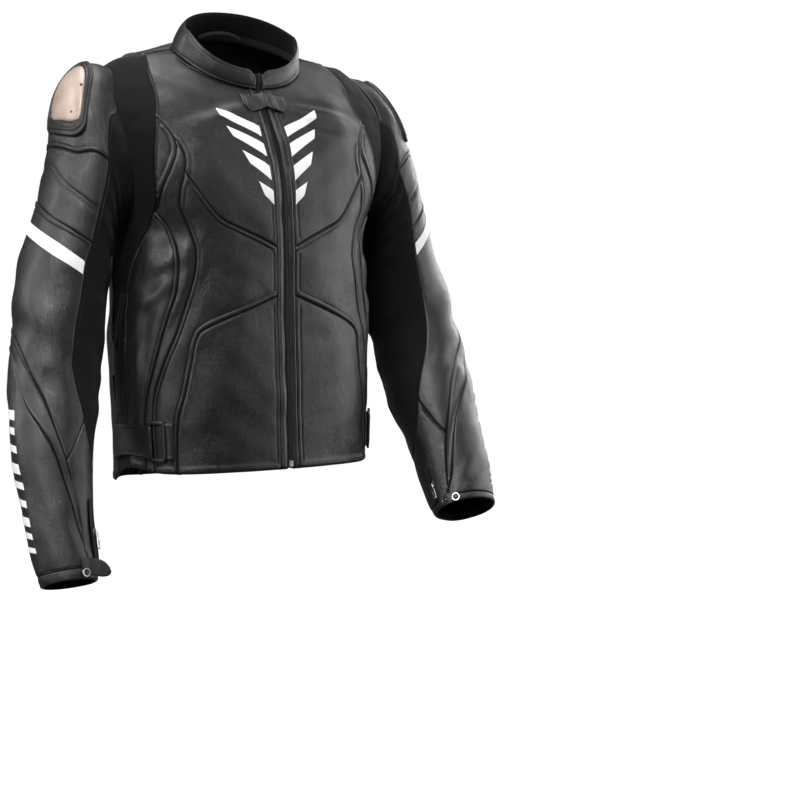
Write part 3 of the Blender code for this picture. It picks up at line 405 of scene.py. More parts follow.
def firstCrossing(line, other):
    # The first place where a line meets another, from the cross products of every pair of segments
    a, d = line[:-1, None], np.diff(line, axis=0)[:, None]
    c, e = other[None, :-1], np.diff(other, axis=0)[None]
    turn = d[..., 0] * e[..., 1] - d[..., 1] * e[..., 0]
    safe = np.where(np.abs(turn) < 1e-9, 1, turn)
    gap = c - a
    t = (gap[..., 0] * e[..., 1] - gap[..., 1] * e[..., 0]) / safe
    u = (gap[..., 0] * d[..., 1] - gap[..., 1] * d[..., 0]) / safe
    hit = (np.abs(turn) >= 1e-9) & (t >= 0) & (t <= 1) & (u >= 0) & (u <= 1)
    t = np.where(hit, t, np.inf).min(1)
    met = np.flatnonzero(np.isfinite(t))
    if len(met) == 0:
        return None
    return met[0], line[met[0]] + t[met[0]] * (line[met[0] + 1] - line[met[0]])


def trimmed(line, start, end):
    # The part of a line between its crossings with two others
    found = firstCrossing(line, start) if start is not None else None
    if found:
        line = np.vstack([found[1], line[found[0] + 1:]])
    found = firstCrossing(line[::-1][:-1], end)
    if found:
        line = np.vstack([found[1], line[::-1][found[0] + 1:]])[::-1]
    return line


def sampled(lines):
    # Every line as samples 1.5 mm apart: their places, directions, line numbers and running lengths
    places, along, owner, run = [np.zeros((0, 2))], [np.zeros((0, 2))], [np.zeros(0, int)], [np.zeros(0)]
    for number, line in enumerate(lines):
        fine = evenly(line, 1.5)
        slope = np.gradient(fine, axis=0)
        places.append(fine)
        along.append(slope / np.maximum(np.linalg.norm(slope, axis=1, keepdims=True), 1e-9))
        owner.append(np.full(len(fine), number))
        run.append(np.arange(len(fine)) * 1.5)
    return {"place": np.vstack(places), "along": np.vstack(along),
            "owner": np.concatenate(owner), "run": np.concatenate(run)}


def nearestLine(places, samples):
    # The nearest sample of each place: its line, the signed distance to it (plus on its left) and its run
    found = np.zeros(len(places), int)
    for first in range(0, len(places), 1500):
        part = slice(first, first + 1500)
        gap = places[part, None] - samples["place"][None]
        found[part] = np.argmin(gap[..., 0] ** 2 + gap[..., 1] ** 2, axis=1)
    gap = places - samples["place"][found]
    along = samples["along"][found]
    forward = np.abs(np.sum(gap * along, 1))
    aside = along[:, 0] * gap[:, 1] - along[:, 1] * gap[:, 0]
    distance = np.hypot(aside, np.maximum(forward - 0.8, 0))
    return samples["owner"][found], np.where(aside < 0, -1, 1) * distance, samples["run"][found]


def regions(tris, walls, count):
    # A number for each triangle: neighbours with no wall between them take the lowest number, again and again
    edges = np.sort(tris[:, [[0, 1], [1, 2], [2, 0]]].reshape(-1, 2), 1)
    key = edges[:, 0] * count + edges[:, 1]
    order = np.argsort(key, kind="stable")
    same = np.flatnonzero(key[order][:-1] == key[order][1:])
    a, b, shared = order[same] // 3, order[same + 1] // 3, key[order][same]
    walls = np.sort(np.asarray(walls, int).reshape(-1, 2), 1)
    open_ = ~np.isin(shared, walls[:, 0] * count + walls[:, 1])
    a, b = a[open_], b[open_]
    group = np.arange(len(tris))
    while True:
        low = np.minimum(group[a], group[b])
        new = group.copy()
        np.minimum.at(new, group[a], low)
        np.minimum.at(new, group[b], low)
        new = new[new]
        new = new[group]
        if np.array_equal(new, group):
            return group
        group = new


def cutFlat(borders, seams, quilts, outlines, scale):
    # Cuts the flat into triangles: each line is a wall of edges with rows of points beside it for its rolled
    # edge and its stitches, and staggered points fill what is left
    lineStep = cloth["lineStep"]
    lines = {name: evenly(np.asarray(points, float) * scale, lineStep) for name, points in borders.items()}
    for name, (start, end, points) in seams.items():
        lines[name] = evenly(trimmed(smoothLine(points, scale), lines.get(start), lines[end]), lineStep)
    quilted = {}
    for name, (start, end, points) in quilts.items():
        whole = trimmed(smoothLine(points, scale), lines[start], lines[end])
        quilted[name] = evenly(whole[3:-3], lineStep)
    sewnLines = list(lines.values()) + list(quilted.values())
    outlined = [evenly(np.vstack([points, points[:1]]) * scale, lineStep * 0.6) for points in outlines]

    verts = np.vstack(sewnLines + outlined)
    edges, isWall, first = [], [], 0
    for number, line in enumerate(sewnLines + outlined):
        ids = np.arange(first, first + len(line))
        edges.append(np.stack([ids[:-1], ids[1:]], 1))
        isWall.append(np.full(len(line) - 1, number < len(lines)))
        first += len(line)
    edges, isWall = np.vstack(edges), np.concatenate(isWall)
    unique, index, back = np.unique(np.round(verts, 3), axis=0, return_index=True, return_inverse=True)
    verts, edges = verts[index], back.reshape(-1)[edges]

    both = sampled(sewnLines)
    beside = []
    for line in sewnLines:
        slope = unit(np.gradient(line, axis=0))
        across = np.stack([-slope[:, 1], slope[:, 0]], 1)
        for offset in cloth["rows"]:
            for sign in (-1, 1):
                row = line + across * offset * sign
                clear = np.abs(nearestLine(row, both)[1]) > offset * 0.93
                beside.append(row[clear])
    low, high = verts.min(0), verts.max(0)
    step = cloth["gridStep"]
    gy = np.arange(low[1] + step / 2, high[1], step * 0.87)
    gx = np.arange(low[0], high[0], step)
    grid = np.stack(np.meshgrid(gx, gy), -1)
    grid[1::2, :, 0] += step / 2
    grid = grid.reshape(-1, 2)
    grid = grid[np.abs(nearestLine(grid, both)[1]) > cloth["rows"][-1] + step * 0.4]
    fill = np.vstack(beside + [grid])
    marks = sampled(list(quilted.values()) + outlined)
    fill = fill[np.abs(nearestLine(fill, marks)[1]) > 1.1]
    vectors = [Vector(v) for v in np.vstack([verts, fill])]
    out = delaunay_2d_cdt(vectors, edges.tolist(), [], 0, 1e-4)
    points = np.array([v[:] for v in out[0]])
    tris = np.array(out[2])
    sewn = [edge for edge, source in zip(out[1], out[4]) if any(isWall[i] for i in source)]
    drawn = [edge for edge, source in zip(out[1], out[4]) if any(not isWall[i] for i in source)]
    return {"flat": points, "tris": tris, "scale": scale, "names": list(lines), "lines": lines,
            "samples": sampled(lines.values()), "quilted": quilted, "quilts": sampled(quilted.values()),
            "sewn": regions(tris, sewn, len(points)), "drawn": regions(tris, drawn + sewn, len(points))}


def trianglesAt(cut, place, kind="sewn"):
    # The triangles of the region round a place: the one whose three turns have the same sign holds it
    p = np.asarray(place, float) * cut["scale"]
    a, b, c = (cut["flat"][cut["tris"][:, i]] for i in range(3))

    def turn(u, v):
        return (v[:, 0] - u[:, 0]) * (p[1] - u[:, 1]) - (v[:, 1] - u[:, 1]) * (p[0] - u[:, 0])

    signs = np.stack([turn(a, b), turn(b, c), turn(c, a)], -1)
    inside = np.flatnonzero(np.all(signs >= 0, 1) | np.all(signs <= 0, 1))[0]
    return cut["tris"][cut[kind] == cut[kind][inside]]


# Heights above the form

def softNoise(points, size, seed):
    # A smooth wave field: the sum of seven sines in seeded directions and wavelengths near the given size
    rng = np.random.default_rng(seed)
    total = np.zeros(len(points))
    for _ in range(7):
        direction = rng.normal(size=3)
        direction /= np.linalg.norm(direction)
        wavelength = size * rng.uniform(0.7, 1.6)
        bend = np.sin(points @ rng.normal(size=3) / size * 0.8 + rng.uniform(0, 6.3))
        total += np.sin(points @ direction * 2 * np.pi / wavelength + 1.3 * bend + rng.uniform(0, 6.3))
    return total / 7 ** 0.5


def creaseHeight(flat, creases, side, scale):
    # Each crease is a ridge exp(-s^2) with a shallower trough beside it, fading out towards its ends
    total = np.zeros(len(flat))
    for where, height, width, points in creases:
        if where not in (0, side):
            continue
        line = smoothLine(points, scale)
        reach = 3.5 * width
        near = np.flatnonzero(np.all((flat > line.min(0) - reach) & (flat < line.max(0) + reach), 1))
        if len(near) == 0:
            continue
        fine = evenly(line, 3.0)
        slope = np.gradient(fine, axis=0)
        slope /= np.linalg.norm(slope, axis=1, keepdims=True)
        gap = flat[near, None] - fine[None]
        found = np.argmin(gap[..., 0] ** 2 + gap[..., 1] ** 2, 1)
        gap = flat[near] - fine[found]
        aside = (slope[found, 0] * gap[:, 1] - slope[found, 1] * gap[:, 0]) / width
        beyond = np.abs(np.sum(gap * slope[found], 1)) / width
        fade = np.sin(np.pi * np.clip(found / (len(fine) - 1), 0.02, 0.98)) ** 0.8 * np.exp(-beyond ** 2)
        total[near] += height * fade * (np.exp(-aside ** 2) - 0.6 * np.exp(-((aside - 1.5) / 1.1) ** 2))
    return total


def bump(x, low, high):
    # A smooth step from 0 at low to 1 at high
    t = np.clip((x - low) / (high - low), 0, 1)
    return t * t * (3 - 2 * t)


def clothHeight(cut, sewing, creases, flat, points, side, stretch):
    # The outer face above the form: the wall, the padded swell, rolled seam edges with a lap on one side,
    # grooves under the stitches, small puckers along the seams, and the creases
    owner, signed, run = nearestLine(flat, cut["samples"])
    distance = np.abs(signed)
    lap = np.array([sewing[n]["lap"] for n in cut["names"]])[owner]
    rows = [sewing[n]["stitch"] for n in cut["names"]]
    height = creaseHeight(flat, creases, side, cut["scale"])
    if stretch:
        away = 1 - np.exp(-(distance / 12) ** 2)
        return height + cloth["halfStretch"] + 0.7 * softNoise(points, 34, 5 + side) * away - 0.5 * (1 - away)
    height = height * (0.35 + 0.65 * bump(distance, 0, 14))
    height += cloth["halfWall"] + cloth["swell"] * (1 - np.exp(-(distance / cloth["swellReach"]) ** 2))
    height -= 1.45 * np.exp(-(distance / 1.25) ** 2)
    first = np.array([abs(r[0]) if r else 6.3 for r in rows])[owner]
    folded = (np.sign(signed) == lap) & (lap != 0)
    foldedEdge = 1.15 * bump(distance, 0.4, 1.8) * (1 - bump(distance, first - 0.9, first + 0.7))
    height += np.where(folded, foldedEdge, 0)
    for number, sides in enumerate(rows):
        for offset in sides:
            groove = 1.05 * np.exp(-((signed - offset) / 0.85) ** 2)
            height -= np.where(owner == number, groove, 0)
    phase = run / 13 + 1.7 * softNoise(points, 60, 11) + owner
    pucker = np.sin(2 * np.pi * phase) * np.exp(-((distance - 9) / 6) ** 2)
    if len(cut["quilts"]["place"]):
        quilt = nearestLine(flat, cut["quilts"])[1]
        for line in quiltLines:
            height -= 1.35 * np.exp(-((quilt - line) / 1.15) ** 2) * bump(distance, 2, 6)
        height += 0.7 * np.exp(-((np.abs(quilt - quiltLines[1] / 2) - 12) / 6) ** 2)
    height += 0.2 * pucker + 0.5 * softNoise(points, 46, 3 + side) + 0.9 * softNoise(points, 110, 8)
    return height


# Meshes

def makeMesh(name, points, faces, materials, faceMaterial=None, uv=None, smoothAngle=60):
    # A mesh object in metres at the origin; uv is one place in metres for each point
    mesh = bpy.data.meshes.new(name)
    mesh.from_pydata((np.asarray(points) * 0.001).tolist(), [], [list(f) for f in faces])
    for material in materials:
        mesh.materials.append(material)
    if faceMaterial is not None:
        mesh.polygons.foreach_set("material_index", np.asarray(faceMaterial, np.int32))
    if uv is not None:
        layer = mesh.uv_layers.new(name="pattern")
        corners = np.zeros(len(mesh.loops), np.int32)
        mesh.loops.foreach_get("vertex_index", corners)
        layer.data.foreach_set("uv", (np.asarray(uv)[corners] * 0.001).astype(np.float32).ravel())
    mesh.shade_smooth()
    mesh.set_sharp_from_angle(angle=math.radians(smoothAngle))
    mesh.update()
    piece = bpy.data.objects.new(name, mesh)
    bpy.context.scene.collection.objects.link(piece)
    return piece


def openEdges(tris, count):
    # The directed edges that have no partner running the other way
    directed = tris[:, [[0, 1], [1, 2], [2, 0]]].reshape(-1, 2)
    key = directed[:, 0] * count + directed[:, 1]
    other = directed[:, 1] * count + directed[:, 0]
    return directed[~np.isin(key, other)]


def clothPiece(name, outer, inner, tris, flat, materials):
    # A closed wall: outer face, inner face turned round, and a strip along the open edge
    count = len(outer)
    rim = openEdges(tris, count)
    strip = np.vstack([np.stack([rim[:, 1], rim[:, 0], rim[:, 0] + count], 1),
                       np.stack([rim[:, 1], rim[:, 0] + count, rim[:, 1] + count], 1)])
    faces = np.vstack([tris, tris[:, ::-1] + count, strip])
    kinds = np.concatenate([np.zeros(len(tris)), np.ones(len(tris)), np.zeros(len(strip))])
    return makeMesh(name, np.vstack([outer, inner]), faces, materials, kinds, np.vstack([flat, flat]))


def insetFlat(flat, tris, amount):
    # Edge points moved into the panel by the amount, along the mean of the inward normals of their edges
    rim = openEdges(tris, len(flat))
    along = flat[rim[:, 1]] - flat[rim[:, 0]]
    inward = np.stack([-along[:, 1], along[:, 0]], 1) / np.linalg.norm(along, axis=1, keepdims=True)
    total = np.zeros_like(flat)
    np.add.at(total, rim[:, 0], inward)
    np.add.at(total, rim[:, 1], inward)
    size = np.linalg.norm(total, axis=1, keepdims=True)
    return flat + np.where(size > 1e-6, total / np.maximum(size, 1e-6) * amount, 0)


def counterclockwise(flat, tris):
    # Triangles that all turn to the left on the flat
    a, b, c = (flat[tris[:, i]] for i in range(3))
    turn = (b - a)[:, 0] * (c - a)[:, 1] - (b - a)[:, 1] * (c - a)[:, 0]
    return np.where((turn < 0)[:, None], tris[:, ::-1], tris)


def compact(flat, tris):
    # Only the points that the triangles use
    used, back = np.unique(tris, return_inverse=True)
    return flat[used], counterclockwise(flat[used], back.reshape(tris.shape))


def flatCut(flat, tris):
    # The size and area of the cut, in metres, for a panel of the pattern
    a, b, c = (flat[tris[:, i]] for i in range(3))
    area = np.abs((b - a)[:, 0] * (c - a)[:, 1] - (b - a)[:, 1] * (c - a)[:, 0]).sum() / 2e6
    width, length = (flat.max(0) - flat.min(0)) / 1000
    if area < 0.34 * width * length:
        width = area / (0.6 * length)
    return float(width), float(length), float(area)


def facing(points, norms, tris):
    # Triangles turned so that most of them face outwards
    n = np.cross(points[tris[:, 1]] - points[tris[:, 0]], points[tris[:, 2]] - points[tris[:, 0]])
    return tris[:, ::-1] if np.sum(n * norms[tris[:, 0]]) < 0 else tris


def realArea(points, tris):
    # The area of triangles in space, in square metres
    n = np.cross(points[tris[:, 1]] - points[tris[:, 0]], points[tris[:, 2]] - points[tris[:, 0]])
    return float(np.linalg.norm(n, axis=1).sum() / 2e6)


def declareCloth(piece, node, flat, tris, formPoints, replaced=True, turnedEdge=0.003):
    # Works out what the sheet was cut from: its flat width and length, scaled to the area it has on the form,
    #     # with the edge that is turned in at its seams; these sizes are not used. The piece is attached to the jacket
    #     and,
    #     # if it replaces a part, that part is hidden
    width, length, area = flatCut(flat, tris)
    share = realArea(formPoints, tris) / area
    rim = openEdges(tris, len(flat))
    around = np.linalg.norm(formPoints[rim[:, 1]] - formPoints[rim[:, 0]], axis=1).sum() / 1000
    width, length = max(width * share, 0.011) + 2 * turnedEdge, max(length, 0.011) + 2 * turnedEdge
    area = min(max(area * share + around * turnedEdge, 0.31 * width * length), width * length)
    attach(piece, "jacket")
    if replaced:
        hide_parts(node)


def panelPiece(node, cut, sewing, creases, form, seed, side, stretch):
    # One piece of the pattern on its form
    flat, tris = compact(cut["flat"], trianglesAt(cut, seed))
    flat = insetFlat(flat, tris, cloth["seamGap"])
    points, norms = surfaceAt(form, flat / cut["scale"], side)
    tris = facing(points, norms, tris)
    height = clothHeight(cut, sewing, creases, flat, points, side, stretch)
    back = cloth["halfStretch"] if stretch else cloth["halfWall"]
    lift = height - np.maximum(height, 0)
    inner = points + norms * (np.minimum(0.55 * (height - back), 6) - back + lift)[:, None]
    materials = [finishes["stretch" if stretch else "leather"], finishes["lining"]]
    piece = clothPiece(node + "_cloth", points + norms * height[:, None], inner, tris, flat, materials)
    declareCloth(piece, node, flat, tris, points)


def backPiece(node, cut, seed):
    # A panel across the middle of the back: one half and its mirror image share the centre line
    flat, tris = compact(cut["flat"], trianglesAt(cut, seed))
    spine = 180 * cut["scale"][0]          # the middle of the back on the flat
    onCentre = flat[:, 0] > spine - 0.01
    flat = insetFlat(flat, tris, cloth["seamGap"])
    flat[onCentre, 0] = spine
    count = len(flat)
    parts = []
    for side in (left, right):
        points, norms = surfaceAt(torsoForm, flat / cut["scale"], side)
        points[onCentre, 0] = 0
        norms[onCentre, 0] = 0
        centreless = {**cut, "samples": centreFree(cut)}
        height = clothHeight(centreless, torsoSewing, torsoCreases, flat, points, side, False)
        parts.append((points, norms, height))
    middle = (parts[0][2] + parts[1][2]) / 2
    for points, norms, height in parts:
        height[onCentre] = middle[onCentre]
        away = (spine - flat[:, 0]) / 30
        height += (middle - height) * np.exp(-away ** 2)
    mirror = np.where(onCentre, np.arange(count), np.arange(count) + count)
    both = np.vstack([facing(parts[0][0], parts[0][1], tris), mirror[facing(parts[1][0], parts[1][1], tris)]])
    points = np.vstack([parts[0][0], parts[1][0]])
    norms = np.vstack([parts[0][1], parts[1][1]])
    height = np.concatenate([parts[0][2], parts[1][2]])
    wide = np.vstack([flat, np.stack([2 * spine - flat[:, 0], flat[:, 1]], 1)])
    inner = points + norms * (np.minimum(0.55 * (height - 1), 6) - cloth["halfWall"])[:, None]
    used, back = np.unique(both, return_inverse=True)
    both = back.reshape(both.shape)
    piece = clothPiece(node + "_cloth", (points + norms * height[:, None])[used], inner[used], both, wide[used],
                       [finishes["leather"], finishes["lining"]])
    declareCloth(piece, node, wide[used], both, points[used])


def centreFree(cut):
    # The seam samples without the fold line down the middle of the back
    samples = cut["samples"]
    keep = samples["owner"] != cut["names"].index("back centre")
    return {key: value[keep] for key, value in samples.items()}


def gridFaces(rows, columns, closedRows=False, closedColumns=False):
    # Four-sided faces of a grid of points stored row by row
    i = np.arange(rows if closedRows else rows - 1)[:, None]
    j = np.arange(columns if closedColumns else columns - 1)[None]
    a, b = i * columns + j, i * columns + (j + 1) % columns
    c, d = ((i + 1) % rows) * columns + (j + 1) % columns, ((i + 1) % rows) * columns + j
    return np.stack([a, b, c, d], -1).reshape(-1, 4)


def slab(name, form, side, degrees, levels, low, high, materials, rise=0.0):
    # A flat strap on a form: a patch of (degrees, level) with rolled edges and a stitched groove along them;
    # it rises by a bell curve of the degrees at its first end
    u, v = np.linspace(0, 1, 49), np.linspace(0, 1, 21)
    u, v = np.meshgrid(0.5 - 0.5 * np.cos(np.pi * u), 0.5 - 0.5 * np.cos(np.pi * v), indexing="ij")
    place = np.stack([degrees[0] + (degrees[1] - degrees[0]) * u, levels[0] + (levels[1] - levels[0]) * v], -1)
    points, norms = surfaceAt(form, place, side)
    wide = np.linalg.norm(points[-1, 10] - points[0, 10])
    tall = np.linalg.norm(points[24, -1] - points[24, 0])
    edge = np.minimum(np.minimum(u, 1 - u) * wide, np.minimum(v, 1 - v) * tall)
    top = high - 1.3 * np.exp(-(edge / 1.0) ** 2) + 0.6 * np.exp(-((edge - 2.0) / 0.9) ** 2)
    top = top - 0.4 * np.exp(-((edge - 4.2) / 0.8) ** 2) + rise * np.exp(-((place[..., 0] - degrees[0]) / 5) ** 2)
    top = top + 0.9 * np.sin(place[..., 0] / 3.4) * np.sin(np.pi * v) * u
    outer = points + norms * top[..., None]
    inner = points + norms * low
    rows, columns = u.shape
    faces = gridFaces(rows, columns)
    count = rows * columns
    ids = np.arange(count).reshape(rows, columns)
    rim = np.concatenate([ids[:-1, 0], ids[-1, :-1], ids[1:, -1][::-1], ids[0, 1:][::-1]])
    after = np.roll(rim, -1)
    strip = np.stack([after, rim, rim + count, after + count], 1)
    faces = np.vstack([faces, faces[:, ::-1] + count, strip[:, ::-1]])
    verts = np.vstack([outer.reshape(-1, 3), inner.reshape(-1, 3)])
    return fixedNormals(makeMesh(name, verts, faces, materials))


def fixedNormals(piece):
    # All faces of a closed piece turned outwards: its signed volume is made positive
    mesh = piece.data
    mesh.calc_loop_triangles()
    corner = np.zeros(len(mesh.loop_triangles) * 3, np.int32)
    mesh.loop_triangles.foreach_get("vertices", corner)
    points = np.zeros(len(mesh.vertices) * 3, np.float32)
    mesh.vertices.foreach_get("co", points)
    a, b, c = (points.reshape(-1, 3)[corner.reshape(-1, 3)[:, i]] for i in range(3))
    if np.sum(a * np.cross(b, c)) < 0:
        mesh.flip_normals()
    return piece


def polarPiece(name, outline, hole, profile, side, materials, turns=96, rings=24):
    # A disc or a ring on the sleeve: places run from the hole's outline (or the middle) to the outer outline,
    # the height is a profile of how far out they are; the back follows the form
    middle = np.mean(outline, 0)
    t = np.linspace(0, len(outline), turns, endpoint=False)
    closed = np.vstack([outline[-1:], outline, outline[:2]])
    outer = splineAt(closed, t + 1)
    inner = middle + (outer - middle) * 0.001
    if hole is not None:
        holed = np.vstack([hole[-1:], hole, hole[:2]])
        inner = splineAt(holed, t + 1)
    s = np.linspace(0, 1, rings)
    s = 0.5 - 0.5 * np.cos(np.pi * s) if hole is not None else s ** 0.6
    place = inner[None] + (outer - inner)[None] * s[:, None, None]
    points, norms = surfaceAt(sleeveForm, place, side)
    top = points + norms * profile(s)[:, None, None]
    low = points + norms * cloth["onPanel"]
    verts = np.vstack([top.reshape(-1, 3), low[-1], low[0]])
    faces = [gridFaces(rings, turns, closedColumns=True)]
    last, foot, inside = (rings - 1) * turns, rings * turns, (rings + 1) * turns
    j = np.arange(turns)
    k = (j + 1) % turns
    faces.append(np.stack([last + j, last + k, foot + k, foot + j], 1))
    faces.append(np.stack([foot + j, foot + k, inside + k, inside + j], 1))
    faces.append(np.stack([inside + j, inside + k, k, j], 1))
    return fixedNormals(makeMesh(name, verts, np.vstack(faces), materials))


def tubeAlong(name, centres, norms, section, materials, closed=False):
    # A profile of (sideways, outward) places carried along a path, its ends capped unless the path is closed
    centres, norms = np.asarray(centres, float), np.asarray(norms, float)
    along = np.roll(centres, -1, 0) - np.roll(centres, 1, 0) if closed else np.gradient(centres, axis=0)
    along /= np.linalg.norm(along, axis=1, keepdims=True)
    sideways = np.cross(along, norms)
    sideways /= np.linalg.norm(sideways, axis=1, keepdims=True)
    section = np.asarray(section, float)
    if section.ndim == 2:
        section = np.broadcast_to(section, (len(centres), *section.shape))
    verts = centres[:, None] + sideways[:, None] * section[..., :1] + norms[:, None] * section[..., 1:]
    rows, columns = verts.shape[:2]
    faces = gridFaces(rows, columns, closed, True).tolist()
    if not closed:
        faces += [list(range(columns)), list(range((rows - 1) * columns, rows * columns))[::-1]]
    return fixedNormals(makeMesh(name, verts.reshape(-1, 3), faces, materials, smoothAngle=50))


def roundedBar(width, low, high, soft, steps=4):
    # A bar section with quarter-round corners
    half, upper, lower = width / 2 - soft, high - soft, low + soft
    out = []
    for quarter, (x, y) in enumerate(((half, upper), (-half, upper), (-half, lower), (half, lower))):
        a = np.linspace(0, np.pi / 2, steps) + quarter * np.pi / 2
        out.append(np.stack([x + soft * np.cos(a), y + soft * np.sin(a)], 1))
    return np.vstack(out)


def turned(name, centre, norm, profile, materials, turns=28):
    # A round piece: a profile of (radius, height) turned about the normal
    norm = norm / np.linalg.norm(norm)
    aside = np.cross(norm, [0.0, 0.0, 1.0])
    aside /= np.linalg.norm(aside)
    other = np.cross(norm, aside)
    a = np.linspace(0, 2 * np.pi, turns, endpoint=False)
    round_ = np.cos(a)[:, None] * aside + np.sin(a)[:, None] * other
    profile = np.asarray(profile, float)
    verts = centre + profile[:, :1, None] * round_[None] + (profile[:, 1:] * norm)[:, None]
    faces = gridFaces(len(profile), turns, closedColumns=True).tolist()
    faces += [list(range(turns))[::-1], list(range((len(profile) - 1) * turns, len(profile) * turns))]
    return fixedNormals(makeMesh(name, verts.reshape(-1, 3), faces, materials, smoothAngle=40))


def joinedMesh(name, parts, materials):
    # Many copies of small closed shapes as one mesh: parts are (points, faces) with equal face sizes
    verts, faces, first = [], [], 0
    for points, face in parts:
        verts.append(points)
        faces.append(face + first)
        first += len(points)
    return makeMesh(name, np.vstack(verts), np.vstack(faces), materials)


def stitchRow(centres, along, norms, length, width, height):
    # One thin spindle for each stitch: two ends and four points round its middle
    sideways = np.cross(along, norms)
    offsets = ((-length / 2, 0, 0), (length / 2, 0, 0), (0, width / 2, 0), (0, 0, height), (0, -width / 2, 0),
               (0, 0, -height * 0.4))
    verts = np.stack([centres + along * a + sideways * b + norms * c for a, b, c in offsets], 1)
    face = np.array([(0, 2, 3), (0, 3, 4), (0, 4, 5), (0, 5, 2), (1, 3, 2), (1, 4, 3), (1, 5, 4), (1, 2, 5)])
    faces = face[None] + 6 * np.arange(len(centres))[:, None, None]
    return verts.reshape(-1, 3), faces.reshape(-1, 3)


# Finishes

def linear(hexColour):
    # An sRGB hex value as linear red, green, blue and full alpha
    parts = [int(hexColour[i:i + 2], 16) / 255 for i in (1, 3, 5)]
    return (*[c / 12.92 if c <= 0.04045 else ((c + 0.055) / 1.055) ** 2.4 for c in parts], 1.0)


def addNode(material, kind, settings=None, **links):
    # One node with its settings and its links: a link is a (node, output) pair or a value for that input
    node = material.node_tree.nodes.new(kind)
    for key, value in (settings or {}).items():
        setattr(node, key, value)
    for key, value in links.items():
        numbered = key[0] == "i" and key[1:].isdigit()
        socket = node.inputs[int(key[1:]) if numbered else key.replace("_", " ")]
        if isinstance(value, tuple) and len(value) == 2 and hasattr(value[0], "outputs"):
            material.node_tree.links.new(value[0].outputs[value[1]], socket)
        else:
            socket.default_value = value
    return node


def newFinish(name, colour, roughness, metallic=0.0, ior=1.5, **more):
    # A Principled material with its plain values; returns the material and its shader
    material = bpy.data.materials.new(name)
    material.use_nodes = True
    shader = material.node_tree.nodes["Principled BSDF"]
    shader.inputs["Base Color"].default_value = linear(colour)
    shader.inputs["Roughness"].default_value = roughness
    shader.inputs["Metallic"].default_value = metallic
    if not metallic:
        shader.inputs["IOR"].default_value = ior
    for key, value in more.items():
        shader.inputs[key.replace("_", " ")].default_value = value
    return material, shader


def ramp(material, source, low, high, colours=None):
    # A ramp from low to high, in grey or between two colours
    node = addNode(material, "ShaderNodeValToRGB", Fac=source)
    for element, position in zip(node.color_ramp.elements, (low, high)):
        element.position = position
    if colours:
        for element, colour in zip(node.color_ramp.elements, colours):
            element.color = colour
    return node


leatherLook = {"dark": "#0c0c0d", "light": "#171618", "grain": 1.5, "wrinkle": 14.0, "roughLow": 0.3,
               "roughHigh": 0.44}


def leatherFinish(name, dark, light, grainStrength):
    # Pigmented, embossed cowhide: small rounded cells with fine valleys give broken, satin highlights.
    # The real grain is about 0.8 mm across; it is drawn at 1.5 mm so that it shows.
    material, shader = newFinish(name, dark, 0.4, ior=1.5, Coat_Weight=0.12, Coat_Roughness=0.32)
    place = addNode(material, "ShaderNodeTexCoord")
    cells = addNode(material, "ShaderNodeTexVoronoi", {"feature": "DISTANCE_TO_EDGE"},
                    Vector=(place, "Object"), Scale=1000 / leatherLook["grain"], Randomness=0.9)
    wrinkle = addNode(material, "ShaderNodeTexNoise", Vector=(place, "Object"),
                      Scale=1000 / leatherLook["wrinkle"], Detail=5.0, Roughness=0.55, Distortion=0.6)
    broad = addNode(material, "ShaderNodeTexNoise", Vector=(place, "Object"), Scale=9.0, Detail=3.0, Roughness=0.5)
    valley = ramp(material, (cells, "Distance"), 0.0, 0.22)
    tone = ramp(material, (broad, "Fac"), 0.35, 0.7, (linear(dark), linear(light)))
    material.node_tree.links.new(tone.outputs["Color"], shader.inputs["Base Color"])
    gloss = addNode(material, "ShaderNodeMapRange", Value=(wrinkle, "Fac"), From_Min=0.3, From_Max=0.7,
                    To_Min=leatherLook["roughLow"], To_Max=leatherLook["roughHigh"])
    material.node_tree.links.new(gloss.outputs["Result"], shader.inputs["Roughness"])
    fine = addNode(material, "ShaderNodeBump", Height=(valley, "Color"), Strength=grainStrength, Distance=0.0004)
    deep = addNode(material, "ShaderNodeBump", Height=(wrinkle, "Fac"), Strength=0.35, Distance=0.0016,
                   Normal=(fine, "Normal"))
    material.node_tree.links.new(deep.outputs["Normal"], shader.inputs["Normal"])
    return material


def stretchFinish(name, colour, pitch, sheen):
    # Knitted aramid stretch cloth: rows of small loops that swallow the light, with a faint edge sheen
    material, shader = newFinish(name, colour, 0.85, ior=1.45, Sheen_Weight=sheen, Sheen_Roughness=0.4,
                                 Specular_IOR_Level=0.25)
    place = addNode(material, "ShaderNodeUVMap", {"uv_map": "pattern"})
    ribs = addNode(material, "ShaderNodeTexWave", {"bands_direction": "X"}, Vector=(place, "UV"),
                   Scale=314 / pitch, Distortion=0.4, Detail=1.0)
    loops = addNode(material, "ShaderNodeTexWave", {"bands_direction": "Y"}, Vector=(place, "UV"),
                    Scale=314 / pitch, Distortion=0.4, Detail=1.0)
    both = addNode(material, "ShaderNodeMath", {"operation": "MULTIPLY"}, i0=(ribs, "Fac"), i1=(loops, "Fac"))
    weave = addNode(material, "ShaderNodeBump", Height=(both, "Value"), Strength=0.3, Distance=0.0004)
    material.node_tree.links.new(weave.outputs["Normal"], shader.inputs["Normal"])
    return material


